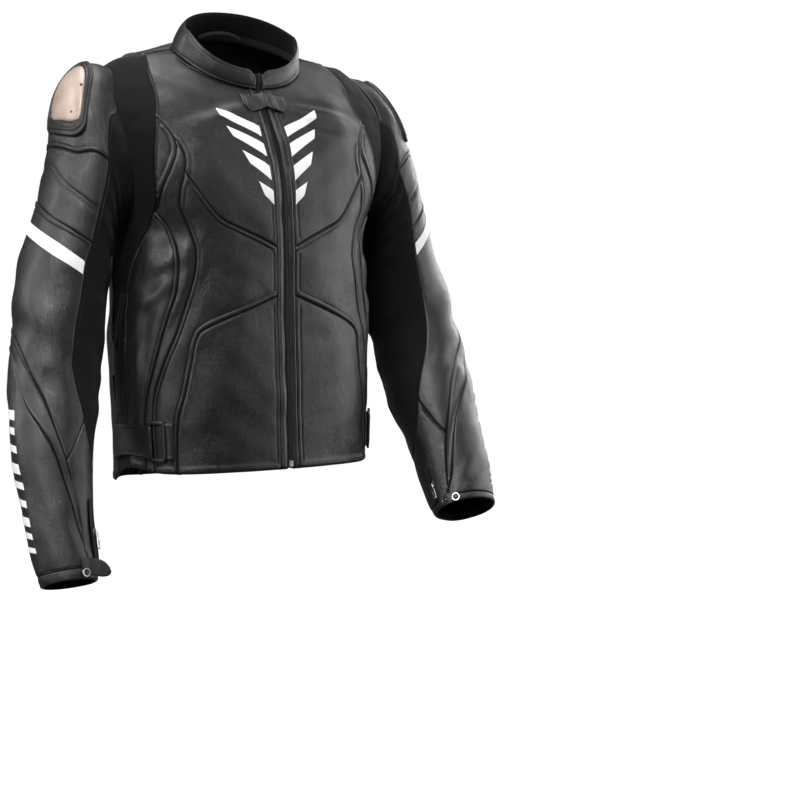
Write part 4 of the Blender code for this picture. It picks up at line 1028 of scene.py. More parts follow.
def plainFinish(name, colour, roughness, metallic=0.0, bumpSize=2.0, bumpDepth=0.1, **more):
    # A moulded, cast or brushed surface: its own colour with a fine uneven skin
    material, shader = newFinish(name, colour, roughness, metallic, **more)
    place = addNode(material, "ShaderNodeTexCoord")
    skin = addNode(material, "ShaderNodeTexNoise", Vector=(place, "Object"), Scale=1000 / bumpSize, Detail=4.0)
    rough = addNode(material, "ShaderNodeMapRange", Value=(skin, "Fac"), From_Min=0.3, From_Max=0.7,
                    To_Min=roughness * 0.85, To_Max=min(1.0, roughness * 1.15))
    material.node_tree.links.new(rough.outputs["Result"], shader.inputs["Roughness"])
    uneven = addNode(material, "ShaderNodeBump", Height=(skin, "Fac"), Strength=bumpDepth, Distance=0.0004)
    material.node_tree.links.new(uneven.outputs["Normal"], shader.inputs["Normal"])
    return material


def plateFinish(name, dark, light):
    # Moulded ABS under metallic lacquer: a clear satin skin, its tone drifting a little over the plate
    material, shader = newFinish(name, light, 0.5, 0.3, Coat_Weight=0.18, Coat_Roughness=0.3)
    place = addNode(material, "ShaderNodeTexCoord")
    drift = addNode(material, "ShaderNodeTexNoise", Vector=(place, "Object"), Scale=22.0, Detail=2.0)
    tone = ramp(material, (drift, "Fac"), 0.35, 0.65, (linear(dark), linear(light)))
    material.node_tree.links.new(tone.outputs["Color"], shader.inputs["Base Color"])
    return material


finishes = {
    "leather": leatherFinish("embossed black cowhide", leatherLook["dark"], leatherLook["light"], 0.42),
    "white": leatherFinish("white coated leather", "#e9e9ea", "#f6f6f6", 0.12),
    "stretch": stretchFinish("black aramid stretch knit", "#040405", 1.0, 0.08),
    "lining": stretchFinish("black mesh lining", "#0a0a0b", 2.4, 0.05),
    "rubber": plainFinish("moulded black rubber", "#101011", 0.5, 0.0, 3.0, 0.15),
    "plate": plateFinish("champagne metallic lacquer", "#97857b", "#b3a096"),
    "coil": plainFinish("black nylon zip coil", "#141416", 0.35, 0.0, 1.0, 0.1),
    "tape": plainFinish("woven polyester tape", "#0c0c0d", 0.85, 0.0, 1.2, 0.3, Sheen_Weight=0.05),
    "gunmetal": plainFinish("gunmetal plated zinc", "#4a4949", 0.3, 1.0, 2.0, 0.08),
    "nickel": plainFinish("nickel plated brass", "#b9b2ac", 0.24, 1.0, 2.0, 0.05),
    "satin": plainFinish("satin plated zinc", "#8d8c90", 0.36, 1.0, 1.6, 0.08),
    "thread": plainFinish("bonded black thread", "#1a1a1c", 0.55, 0.0, 0.6, 0.2),
    "plastic": plainFinish("moulded black acetal", "#0f0f10", 0.38, 0.0, 3.0, 0.08),
}
print("made the finishes")


# Cutting the pattern

def torsoFlat():
    # The torso pattern of one side, with the armhole left out
    levels = np.linspace(0, neckLevel, 60)
    widths = splineAt(torsoRings, levels)[:, 3]
    innerEdge = np.degrees(np.arcsin(3.9 / widths))
    seamEdge = np.degrees(np.arcsin(14.0 / widths))
    borders = {
        "hem": ((innerEdge[0], 0), (180, 0)),
        "neck": ((innerEdge[-1], neckLevel), (180, neckLevel)),
        "front edge": np.stack([innerEdge, levels], 1),
        "placket": np.stack([seamEdge, levels], 1),
        "back centre": ((180, 0), (180, neckLevel)),
        "shoulder": ((95, 8.98), (102, 9.3), (108, neckLevel)),
        "armhole": armholePlace(np.linspace(-90, 270, 181)),
    }
    return cutFlat(borders, torsoSeams, {}, [barOutline(*bar) for bar in chestBars], torsoScale)


def barOutline(innerDegree, outerDegree, level, height):
    # A bar that rises outwards, its outer end cut on the slant
    rise = 0.052 * (outerDegree - innerDegree)
    return np.array(((innerDegree, level), (outerDegree, level + rise),
                     (outerDegree + 1.6, level + rise + height), (innerDegree, level + height)))


def forearmOutlines():
    # Slanted bars of uneven width, one under the other down the outer forearm
    bars = []
    step = (forearmBars["last"] - forearmBars["first"]) / forearmBars["count"]
    for i in range(forearmBars["count"]):
        level = forearmBars["first"] + i * step
        tall = step * forearmBars["share"] * (1.2 if i % 3 == 0 else 0.85)
        a, b, slant = forearmBars["from"], forearmBars["to"], step * 0.55
        bars.append(np.array(((a, level), (b, level + slant), (b, level + slant + tall), (a, level + tall))))
    return bars


def sleeveFlat():
    # The sleeve pattern, opened along its back seam
    borders = {
        "armhole": ((-90, 0), (270, 0)),
        "cuff seam": ((-90, cuffTop), (270, cuffTop)),
        "cuff": ((-90, cuffLevel), (270, cuffLevel)),
        "back seam": ((-90, 0), (-90, cuffLevel)),
        "back seam end": ((270, 0), (270, cuffLevel)),
    }
    outlines = [np.array(whiteBand)] + forearmOutlines()
    return cutFlat(borders, sleeveSeams, sleeveQuilts, outlines, sleeveScale)


torsoCut = torsoFlat()
sleeveCut = sleeveFlat()
print("cut the pattern:", len(torsoCut["tris"]), "and", len(sleeveCut["tris"]), "triangles")

for side, word in sideNames.items():
    for node, (seed, stretch) in torsoPanels.items():
        panelPiece(f"{node}_{word}", torsoCut, torsoSewing, torsoCreases, torsoForm, seed, side, stretch)
    for node, (seed, stretch) in sleevePanels.items():
        panelPiece(f"{node}_{word}", sleeveCut, sleeveSewing, sleeveCreases, sleeveForm, seed, side, stretch)
for node, seed in backPanels.items():
    backPiece(node, torsoCut, seed)
print("sewed the panels")


# Applied white pieces

def appliedPiece(name, cut, sewing, creases, form, seed, side, low, thick, material):
    # A thin piece lying on the cloth: the same triangles moved out by the cloth's own height
    flat, tris = compact(cut["flat"], trianglesAt(cut, seed, "drawn"))
    flat = insetFlat(flat, tris, 0.2)
    points, norms = surfaceAt(form, flat / cut["scale"], side)
    tris = facing(points, norms, tris)
    base = clothHeight(cut, sewing, creases, flat, points, side, False)
    rim = np.unique(openEdges(tris, len(flat)))
    top = base + low + thick
    top[rim] -= thick * 0.5
    piece = clothPiece(name, points + norms * top[:, None], points + norms * (base + low)[:, None], tris, flat,
                       [material, material])
    return piece, flat, tris, points


def chestDesign(side, word):
    # The stacked bars beside the zip
    for i, bar in enumerate(chestBars):
        seed = barOutline(*bar).mean(0)
        name = f"chest_bar_{word}_{i + 1}"
        piece, flat, tris, points = appliedPiece(name, torsoCut, torsoSewing, torsoCreases, torsoForm, seed, side,
                                                 0.15, 0.55, finishes["white"])
        declareCloth(piece, "white_band_" + word, flat, tris, points, False, 0.0)


def forearmDesign(side, word):
    # The slanted bars on the forearm
    for i, bar in enumerate(forearmOutlines()):
        name = f"forearm_bar_{word}_{i + 1}"
        piece, flat, tris, points = appliedPiece(name, sleeveCut, sleeveSewing, sleeveCreases, sleeveForm,
                                                 bar.mean(0), side, 0.15, 0.5, finishes["white"])
        declareCloth(piece, "white_band_" + word, flat, tris, points, False, 0.0)


for side, word in sideNames.items():
    chestDesign(side, word)
    forearmDesign(side, word)
    piece, flat, tris, points = appliedPiece("white_band_cloth_" + word, sleeveCut, sleeveSewing, sleeveCreases,
                                             sleeveForm, (20, 6.5), side, 0.3, 0.9, finishes["white"])
    declareCloth(piece, "white_band_" + word, flat, tris, points, True, 0.0)
print("laid the white pieces")


# Tapes that close the seams from the inside

tape = {"half": 5.0, "depth": 2.0, "thick": 0.5}


def ribbon(name, rails, materials, closed=False):
    # A thin band between side-by-side curves: each rail is (points, normals, height), its back lies lower
    top = np.stack([points + norms * high for points, norms, high in rails], 1)
    low = np.stack([points + norms * (high - tape["thick"]) for points, norms, high in rails], 1)[:, ::-1]
    verts = np.concatenate([top, low], 1)
    rows, columns = verts.shape[:2]
    faces = gridFaces(rows, columns, closed, True).tolist()
    if not closed:
        faces += [list(range(columns))[::-1], list(range((rows - 1) * columns, rows * columns))]
    return fixedNormals(makeMesh(name, verts.reshape(-1, 3), faces, materials))


def seamTapes(cut, form, side, word, part, leftOut):
    # A tape under each seam, its rails 5 mm to either side of the line
    for name, line in cut["lines"].items():
        if name in leftOut:
            continue
        slope = np.gradient(line, axis=0)
        slope /= np.linalg.norm(slope, axis=1, keepdims=True)
        across = np.stack([-slope[:, 1], slope[:, 0]], 1)
        rails = []
        for offset in (-tape["half"], 0, tape["half"]):
            points, norms = surfaceAt(form, (line + across * offset) / cut["scale"], side)
            rails.append((points, norms, -tape["depth"]))
        piece = ribbon(f"tape_{part}_{name.replace(' ', '_')}_{word}", rails, [finishes["tape"]])
        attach(piece, "jacket")


def armholeTape(side, word):
    # A band that bridges the armhole from the torso's edge to the sleeve's
    turn = np.linspace(0, 360, 160, endpoint=False)
    wide = armholePlace(turn)
    wide = wide + (wide - wide.mean(0)) * 0.05
    rails = [(*surfaceAt(torsoForm, wide, side), -tape["depth"]),
             (*surfaceAt(torsoForm, armholePlace(turn), side), -tape["depth"]),
             (*surfaceAt(sleeveForm, np.stack([turn, 0 * turn], 1), side), -tape["depth"]),
             (*surfaceAt(sleeveForm, np.stack([turn, 0 * turn + 0.12], 1), side), -tape["depth"])]
    piece = ribbon("tape_armhole_" + word, rails, [finishes["tape"]], closed=True)
    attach(piece, "jacket")


for side, word in sideNames.items():
    seamTapes(torsoCut, torsoForm, side, word, "torso",
              ("hem", "neck", "front edge", "back centre", "armhole"))
    seamTapes(sleeveCut, sleeveForm, side, word, "sleeve", ("armhole", "cuff", "back seam end"))
    armholeTape(side, word)
print("taped the seams")


# Stitches

stitch = {"pitch": 3.4, "length": 2.5, "width": 0.75, "height": 0.5}


def stitchesOn(cut, sewing, creases, form, side):
    # A spindle every 3.4 mm along each stitched line, left out where another seam is nearer
    parts = []
    for name, line in {**cut["lines"], **cut["quilted"]}.items():
        for offset in sewing[name]["stitch"] if name in sewing else quiltLines:
            fine = evenly(line, stitch["pitch"])
            slope = np.gradient(fine, axis=0)
            slope /= np.linalg.norm(slope, axis=1, keepdims=True)
            flat = fine + np.stack([-slope[:, 1], slope[:, 0]], 1) * offset
            keep = np.abs(nearestLine(flat, cut["samples"])[1]) > abs(offset) - 0.5
            if name == "hem":
                keep &= flat[:, 0] > 6
            flat, slope = flat[keep], slope[keep]
            if len(flat) == 0:
                continue
            points, norms = surfaceAt(form, flat / cut["scale"], side)
            ahead = form((flat + slope) / cut["scale"], side) - points
            ahead /= np.linalg.norm(ahead, axis=1, keepdims=True)
            height = clothHeight(cut, sewing, creases, flat, points, side, False)
            parts.append(stitchRow(points + norms * (height + 0.12)[:, None], ahead, norms,
                                   stitch["length"], stitch["width"], stitch["height"]))
    return parts


for side, word in sideNames.items():
    parts = stitchesOn(torsoCut, torsoSewing, torsoCreases, torsoForm, side)
    parts += stitchesOn(sleeveCut, sleeveSewing, sleeveCreases, sleeveForm, side)
    piece = joinedMesh("stitches_" + word, parts, [finishes["thread"]])
    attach(piece, "jacket")
print("sewed the stitches")


# Shoulder plates

plateLook = {"thick": 3.4, "dome": 3.0, "rimThick": 4.4, "rivetHeight": 6.6,
             "rivets": ((24, 3.0), (-26, 3.0), (26, 1.95), (-26, 1.95)),
             "rivetProfile": ((1.8, -1.5), (1.8, 0.1), (1.5, 0.5), (0.8, 0.75), (0.05, 0.8))}


def plateProfile(s):
    # A dome that rolls down over its edge
    crown = plateLook["thick"] + plateLook["dome"] * (1 - s ** 2)
    return cloth["onPanel"] + crown * np.sqrt(1 - (s * 0.985) ** 14)


def rimProfile(s):
    # Two soft ridges between rolled edges
    crown = np.sqrt(np.clip(1 - np.abs(2 * s - 1) ** 3.2, 0, 1))
    return cloth["onPanel"] + plateLook["rimThick"] * crown + 0.8 * crown * np.sin(2 * np.pi * 2.5 * s)


for side, word in sideNames.items():
    plate = polarPiece("plate_" + word, np.array(cupPlate, float), None, plateProfile, side, [finishes["plate"]])
    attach(plate, "jacket")
    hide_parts("shoulder_plate_" + word)
    for number, place in enumerate(plateLook["rivets"]):
        points, norms = surfaceAt(sleeveForm, np.array([place], float), side)
        rivet = turned(f"plate_rivet_{word}_{number + 1}", points[0] + norms[0] * plateLook["rivetHeight"],
                       norms[0], plateLook["rivetProfile"], [finishes["gunmetal"]], turns=16)
        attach(rivet, "jacket")
    middle = np.mean(cupPlate, 0)
    shrunk = middle + (np.array(cupPlate, float) - middle) * 1.01
    rim = polarPiece("plate_rim_" + word, np.array(cupRim, float), shrunk, rimProfile, side, [finishes["rubber"]],
                     rings=26)
    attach(rim, "jacket")
    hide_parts("shoulder_rim_" + word)
print("set the shoulder plates")


# Collar

collarLook = {"gap": 4.4, "wall": 3.6, "lift": 1.6, "swell": 1.6}


def collarPiece():
    # A stand collar: a section of foot, outer face, rolled top and inner face carried round the neck
    start = math.degrees(math.asin(collarLook["gap"] / collarRing[3])) + 0.3
    half = np.concatenate([start + np.array([0, 0.35, 0.8, 1.4]), np.linspace(start + 2.4, 178.6, 90)])
    angles = np.concatenate([half, [180.0], half[::-1]])
    sides = np.concatenate([np.full(len(half), right), [left], np.full(len(half), left)])
    base = np.broadcast_to(torsoRings[-1], (len(angles), 8))
    top = np.broadcast_to(collarRing, (len(angles), 8))
    foot, head = ovalPoint(base, angles, sides), ovalPoint(top, angles, sides)
    beside = ovalPoint(base, angles + 1, sides) - ovalPoint(base, angles - 1, sides)
    rise = head - foot
    tall = np.linalg.norm(rise, axis=1, keepdims=True)
    rise /= tall
    out = np.cross(beside, rise) * sides[:, None]
    out /= np.linalg.norm(out, axis=1, keepdims=True)
    foot = foot + rise * collarLook["lift"]
    run = np.concatenate([[0], np.cumsum(np.linalg.norm(np.diff(foot, axis=0), axis=1))])
    endGap = np.minimum(run, run[-1] - run)
    corner = 7.0 * np.exp(-(endGap / 7.0) ** 2)
    tall = tall[:, 0] - corner
    thick = collarLook["wall"] * (0.35 + 0.65 * bump(endGap, 0, 2.0))

    h = np.concatenate([np.linspace(0, 1, 22), np.linspace(1, 0, 16)[1:]])
    face = np.concatenate([np.ones(22), -np.ones(15)])
    millis = h[None] * tall[:, None]
    swell = collarLook["swell"] * np.sin(np.pi * np.clip(h, 0, 1)) ** 0.7
    aside = face[None] * thick[:, None] / 2 + (swell * (face > 0))[None]
    for groove in (3.6, 5.4):
        aside = aside - (face > 0)[None] * 0.75 * np.exp(-((tall[:, None] - millis - groove) / 0.8) ** 2)
        aside = aside - (face > 0)[None] * 0.75 * np.exp(-((millis - groove) / 0.8) ** 2) * (groove < 4)
    aside = aside - (face > 0)[None] * 0.6 * np.exp(-((endGap[:, None] - 3.8) / 0.8) ** 2)
    aside = aside + (face > 0)[None] * 1.3 * np.exp(-((millis - 1.0) / 1.0) ** 2)
    roll = 1 - 0.55 * np.exp(-((tall[:, None] - millis) / 1.6) ** 2)
    points = foot[:, None] + rise[:, None] * millis[..., None]
    uneven = 0.5 * softNoise(points.reshape(-1, 3), 34, 21) + 0.9 * softNoise(points.reshape(-1, 3), 75, 22)
    aside = aside * roll + uneven.reshape(millis.shape) * np.sin(np.pi * np.clip(h, 0, 1))[None]
    points = points + out[:, None] * aside[..., None]
    rows, columns = points.shape[:2]
    faces = gridFaces(rows, columns, closedColumns=True)
    kinds = np.where((faces % columns >= 22).sum(1) >= 2, 1, 0).tolist()
    faces = faces.tolist() + [list(range(columns))[::-1], list(range((rows - 1) * columns, rows * columns))]
    piece = makeMesh("collar_leather", points.reshape(-1, 3), faces, [finishes["leather"], finishes["lining"]],
                     kinds + [0, 0], np.stack([np.repeat(run, columns), millis.ravel()], 1))
    fixedNormals(piece)
    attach(piece, "jacket")
    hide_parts("collar")
    rowsOf = []
    for groove in (3.6,):
        level = tall - groove
        line = foot + rise * level[:, None] + out * (thick / 2 + 0.1 + collarLook["swell"] * 0.45)[:, None]
        rowsOf.append((line, out))
        line = foot + rise * groove + out * (thick / 2 + 0.1 + collarLook["swell"] * 0.45)[:, None]
        rowsOf.append((line, out))
    place = np.stack([angles, 0 * angles + neckLevel - 0.1], 1)
    below, belowNorms = surfaceAt(torsoForm, place, sides)
    inside = -(collarLook["wall"] / 2 + 0.7)
    rails = [(below, belowNorms, -2.0), (foot - rise * collarLook["lift"], out, inside - 0.3),
             (foot + rise * 3, out, inside), (foot + rise * 9, out, inside)]
    neckTape = ribbon("tape_neck", rails, [finishes["tape"]])
    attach(neckTape, "jacket")
    parts = []
    for line, outward in rowsOf:
        both = evenly(np.hstack([line, outward])[3:-3], stitch["pitch"])
        centre, normal = both[:, :3], both[:, 3:]
        normal /= np.linalg.norm(normal, axis=1, keepdims=True)
        ahead = np.gradient(centre, axis=0)
        ahead /= np.linalg.norm(ahead, axis=1, keepdims=True)
        parts.append(stitchRow(centre, ahead, normal, stitch["length"], stitch["width"], stitch["height"]))
    stitches = joinedMesh("collar_stitches", parts, [finishes["thread"]])
    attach(stitches, "jacket")


collarPiece()


def hangerLoop():
    # A flat tape sewn to the inside of the back collar, its middle hanging a little lower
    t = np.linspace(0, 1, 40)
    x = -34 + 68 * t
    y = 58 - 0.006 * x ** 2 - 13 * np.sin(np.pi * t)
    z = 40 + 8 * np.sin(np.pi * t) ** 0.6
    norms = np.stack([0 * t, -np.cos(0.5 * np.sin(np.pi * t)), np.sin(0.5 * np.sin(np.pi * t))], 1)
    piece = tubeAlong("hanger_loop", np.stack([x, y, z], 1), norms, roundedBar(5.0, -0.6, 0.6, 0.4),
                      [finishes["tape"]])
    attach(piece, "jacket")


hangerLoop()
print("sewed the collar")


# Front zip and the tab over its top

zipLook = {"pitch": 2.1, "toothLong": 3.1, "toothWide": 1.2}


def frontLine(count, high):
    # Points and normals up the middle of the front, through the gap of the collar
    levels = np.linspace(0.02, neckLevel, count)
    place = np.stack([0 * levels, levels], -1)
    points, norms = surfaceAt(torsoForm, place, left)
    points[:, 0] = 0
    norms[:, 0] = 0
    top = np.array([[0.0, collarRing[4] - 0.5, collarRing[0] - 3.0]])
    points = np.vstack([points, (points[-1:] + top) / 2 + [0, -1.2, 0], top])
    blend = np.clip((levels - 9) / 1.0, 0, 1)[:, None]
    norms = norms * (1 - blend) + np.array([0, -0.98, 0.2]) * blend
    norms = np.vstack([norms, [[0, -0.99, 0.12]], [[0, -0.99, 0.12]]])
    norms /= np.linalg.norm(norms, axis=1, keepdims=True)
    both = evenly(np.hstack([points, norms * 20]), 2.0)
    norms = both[:, 3:] / np.linalg.norm(both[:, 3:], axis=1, keepdims=True)
    return both[:, :3] + norms * high, norms


def frontZip():
    # The tape, with a tooth every 2.1 mm from each side in turn, and the box at its foot
    points, norms = frontLine(80, 0.0)
    tape = tubeAlong("front_zip_tape", points, norms, roundedBar(7.2, -1.4, 0.2, 0.5), [finishes["tape"]])
    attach(tape, "jacket")
    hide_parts("front_zip")
    facingStrip = tubeAlong("front_zip_facing", points, norms, roundedBar(26.0, -3.5, -2.6, 0.4),
                            [finishes["tape"]])
    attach(facingStrip, "jacket")
    both = evenly(np.hstack([points, norms * 20]), zipLook["pitch"] / 2)
    centre, normal = both[:, :3], both[:, 3:] / np.linalg.norm(both[:, 3:], axis=1, keepdims=True)
    along = np.gradient(centre, axis=0)
    along /= np.linalg.norm(along, axis=1, keepdims=True)
    across = np.cross(along, normal)
    hand = np.where(np.arange(len(centre)) % 2 == 0, 1.0, -1.0)[:, None]
    middle = centre + across * hand * 1.0 + normal * 0.75
    box = np.array([(a, b, c) for a in (-1, 1) for b in (-1, 1) for c in (-1, 1)], float)
    box[box[:, 2] > 0, :2] *= 0.7
    size = np.array([zipLook["toothLong"], zipLook["toothWide"], 1.5]) / 2
    corners = box * size
    verts = (middle[:, None] + across[:, None] * corners[None, :, :1] + along[:, None] * corners[None, :, 1:2]
             + normal[:, None] * corners[None, :, 2:])
    face = np.array([(0, 1, 3, 2), (4, 6, 7, 5), (0, 4, 5, 1), (2, 3, 7, 6), (0, 2, 6, 4), (1, 5, 7, 3)])
    faces = (face[None] + 8 * np.arange(len(centre))[:, None, None]).reshape(-1, 4)
    teeth = makeMesh("front_zip_teeth", verts.reshape(-1, 3), faces, [finishes["coil"]], smoothAngle=30)
    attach(fixedNormals(teeth), "jacket")
    foot = tubeAlong("front_zip_box", points[1:6], norms[1:6], roundedBar(6.6, -0.4, 2.6, 0.7),
                     [finishes["nickel"]])
    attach(foot, "jacket")


def neckTab():
    # A six-sided flap: a patch between a lower and an upper edge line, thinner at its border
    widths = np.array([-35, -26, -13, 0, 13, 26, 35], float)
    lowest = np.array([7.75, 7.3, 7.42, 7.6, 7.42, 7.3, 7.75])
    u = np.linspace(-35, 35, 71)
    lower = np.interp(u, widths, lowest)
    t = 0.5 - 0.5 * np.cos(np.pi * np.linspace(0, 1, 19))
    upper = 8.55 + 0.45 * np.exp(-(u / 16) ** 2)
    level = lower[:, None] + (upper - lower)[:, None] * t[None]
    wide = np.broadcast_to(u[:, None], level.shape)
    degrees = np.degrees(np.arcsin(np.abs(wide) / splineAt(torsoRings, level)[..., 3]))
    place = np.stack([degrees, level], -1)
    onLeft, normLeft = surfaceAt(torsoForm, place, left)
    onRight, normRight = surfaceAt(torsoForm, place, right)
    isLeft = (wide >= 0)[..., None]
    points, norms = np.where(isLeft, onLeft, onRight), np.where(isLeft, normLeft, normRight)
    middle = np.abs(wide) < 0.5
    norms[middle, 0] = 0
    norms /= np.linalg.norm(norms, axis=-1, keepdims=True)
    edge = np.minimum(35 - np.abs(wide), np.minimum(t, 1 - t)[None] * 46)
    lift = 1.2 * softNoise(points.reshape(-1, 3), 26, 31).reshape(level.shape)
    top = 5.2 - 1.2 * np.exp(-(edge / 1.2) ** 2) - 0.9 * np.exp(-((edge - 4.0) / 0.9) ** 2) + 0.6 * lift
    top = top + 1.4 * np.exp(-(wide / 5) ** 2) + 1.1 * np.exp(-((wide - 15) / 2.4) ** 2)
    rows, columns = level.shape
    count = rows * columns
    faces = gridFaces(rows, columns)
    ids = np.arange(count).reshape(rows, columns)
    rim = np.concatenate([ids[:-1, 0], ids[-1, :-1], ids[1:, -1][::-1], ids[0, 1:][::-1]])
    after = np.roll(rim, -1)
    strip = np.stack([after, rim, rim + count, after + count], 1)
    verts = np.vstack([(points + norms * top[..., None]).reshape(-1, 3),
                       (points + norms * (top[..., None] - 2.2)).reshape(-1, 3)])
    piece = makeMesh("neck_tab_rubber", verts, np.vstack([faces, faces[:, ::-1] + count, strip[:, ::-1]]),
                     [finishes["leather"]])
    fixedNormals(piece)
    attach(piece, "jacket")
    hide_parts("neck_tab")


frontZip()
neckTab()
print("closed the zip")


# Waist adjusters, short zips, pulls and cuffs

waist = {"strap": ((63.6, 100), (0.24, 0.78)), "base": ((52.5, 59.0), (0.24, 0.83)),
         "buckle": (56.2, 66.2, 0.185, 0.885), "low": 4.8, "high": 7.6, "wide": 5.8}
pocket = {"path": ((85.5, 2.85), (89, 2.5), (91.5, 2.1), (93, 1.75), (93.5, 1.3), (93.5, 0.95)), "at": 0.42,
          "wide": 8.0, "top": 3.9, "pull": 42.0}
cuffZip = {"path": ((126, 11.75), (126, 12.3), (126, 12.9), (126, 13.4)), "at": 0.5, "wide": 7.0,
           "top": 3.3, "pull": 22.0}
pullHeight = cloth["onPanel"] + 5.3


def waistAdjuster(side, word):
    # The strap with its stitches, and the loop that it runs through
    base = slab("waist_base_leather_" + word, torsoForm, side, *waist["base"], 2.9, 4.3, [finishes["leather"]])
    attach(base, "jacket")
    strap = slab("waist_strap_leather_" + word, torsoForm, side, *waist["strap"], 2.9, 5.2,
                 [finishes["leather"]], rise=3.4)
    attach(strap, "jacket")
    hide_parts("waist_strap_" + word)
    x0, x1, y0, y1 = waist["buckle"]
    a = np.linspace(0, 2 * np.pi, 64, endpoint=False)
    box = (np.abs(np.cos(a)) ** 12 + np.abs(np.sin(a)) ** 12) ** (-1 / 12)
    inset = waist["wide"] / 2
    place = np.stack([(x0 + x1) / 2 + ((x1 - x0) / 2 - inset / 3.3) * np.cos(a) * box,
                      (y0 + y1) / 2 + ((y1 - y0) / 2 - inset / 62) * np.sin(a) * box], -1)
    points, norms = surfaceAt(torsoForm, place, side)
    section = roundedBar(waist["wide"], waist["low"], waist["high"], 1.2)
    loop = tubeAlong("waist_buckle_loop_" + word, points, norms, section, [finishes["plastic"]], closed=True)
    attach(loop, "jacket")
    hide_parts("waist_buckle_" + word)


def shortZip(name, node, form, side, look, low):
    # Tape and teeth along a line on a form, and the slider's body on it; returns the slider's place
    dense = splineAt(look["path"], np.linspace(0, len(look["path"]) - 1, 60))
    points, norms = surfaceAt(form, dense, side)
    both = evenly(np.hstack([points, norms * 20]), 1.1)
    centre, normal = both[:, :3], both[:, 3:] / np.linalg.norm(both[:, 3:], axis=1, keepdims=True)
    tape = tubeAlong(name + "_tape", centre[::4], normal[::4],
                     roundedBar(look["wide"] + 5, low, low + 0.9, 0.4), [finishes["tape"]])
    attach(tape, "jacket")
    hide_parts(node)
    ribbed = 1 + 0.16 * (np.arange(len(centre)) % 2)
    section = roundedBar(4.6, low + 0.7, low + 2.0, 0.5)[None] * ribbed[:, None, None]
    teeth = tubeAlong(name + "_teeth", centre, normal, section, [finishes["coil"]])
    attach(teeth, "jacket")
    middle = int(round((len(centre) - 1) * look["at"]))
    part = slice(middle - 5, middle + 6)
    swell = 0.72 + 0.28 * np.cos(np.linspace(-1.2, 1.2, 11))
    body = roundedBar(look["wide"], low + 0.5, low + look["top"], 1.0)[None]
    body = body * np.stack([swell, np.ones(11)], 1)[:, None]
    slider = tubeAlong(name + "_slider", centre[part], normal[part], body, [finishes["gunmetal"]])
    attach(slider, "jacket")
    return centre[middle], normal[middle]


def pullPiece(node, pin, across, hang, length, finish):
    # A flat zip pull: a rounded bar whose width follows its length, round the pin at its top
    across, hang = across / np.linalg.norm(across), hang / np.linalg.norm(hang)
    out = np.cross(hang, across)
    s = np.array([-1.2, -0.8, 0.2, 1.6, 4.0, 5.6, 7.4, 9.0,
                  length - 6, length - 3, length - 1.2, length - 0.3, length])
    wide = np.array([1.6, 2.6, 2.9, 2.8, 2.3, 2.4, 3.2, 3.25, 3.25, 3.25, 2.9, 2.3, 1.6])
    thick = np.array([0.3, 0.6, 0.75, 0.75, 0.6, 0.6, 0.75, 0.75, 0.6, 0.6, 0.7, 0.5, 0.3])
    a = np.linspace(0, 2 * np.pi, 16, endpoint=False)
    box = (np.abs(np.cos(a)) ** 4 + np.abs(np.sin(a)) ** 4) ** (-1 / 4)
    verts = (pin + hang * s[:, None, None] + across * (wide[:, None] * (np.cos(a) * box)[None])[..., None]
             + out * (thick[:, None] * (np.sin(a) * box)[None])[..., None])
    rows, columns = verts.shape[:2]
    faces = gridFaces(rows, columns, closedColumns=True).tolist()
    faces += [list(range(columns)), list(range((rows - 1) * columns, rows * columns))[::-1]]
    piece = fixedNormals(makeMesh(node + "_metal", verts.reshape(-1, 3), faces, [finish], smoothAngle=45))
    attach(piece, node)
    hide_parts(node)


def snapAt(name, place, side, height, radius, material):
    # A press stud: a rolled ring round a low cap
    points, norms = surfaceAt(sleeveForm, np.array([place], float), side)
    profile = ((radius, -0.5), (radius, 0.7), (radius * 0.93, 1.25), (radius * 0.8, 1.35), (radius * 0.66, 1.0),
               (radius * 0.62, 0.2), (radius * 0.62, -0.4))
    piece = turned(name, points[0] + norms[0] * height, norms[0], profile, [material])
    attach(piece, "jacket")
    cap = ((radius * 0.58, -0.4), (radius * 0.58, 0.2), (radius * 0.5, 0.5), (radius * 0.25, 0.75),
           (radius * 0.04, 0.8))
    piece = turned(name + "_cap", points[0] + norms[0] * height, norms[0], cap, [finishes["plastic"]])
    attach(piece, "jacket")


cuffFlap = {"from": 86.0, "to": 126.0, "low": 1.6, "high": 3.8,
            "level": {right: 13.42, left: 13.68},
            "half": {right: 12.0, left: 8.5},
            "lift": {right: 18.0, left: 0.0},
            "droop": {right: 7.0, left: 0.0}}


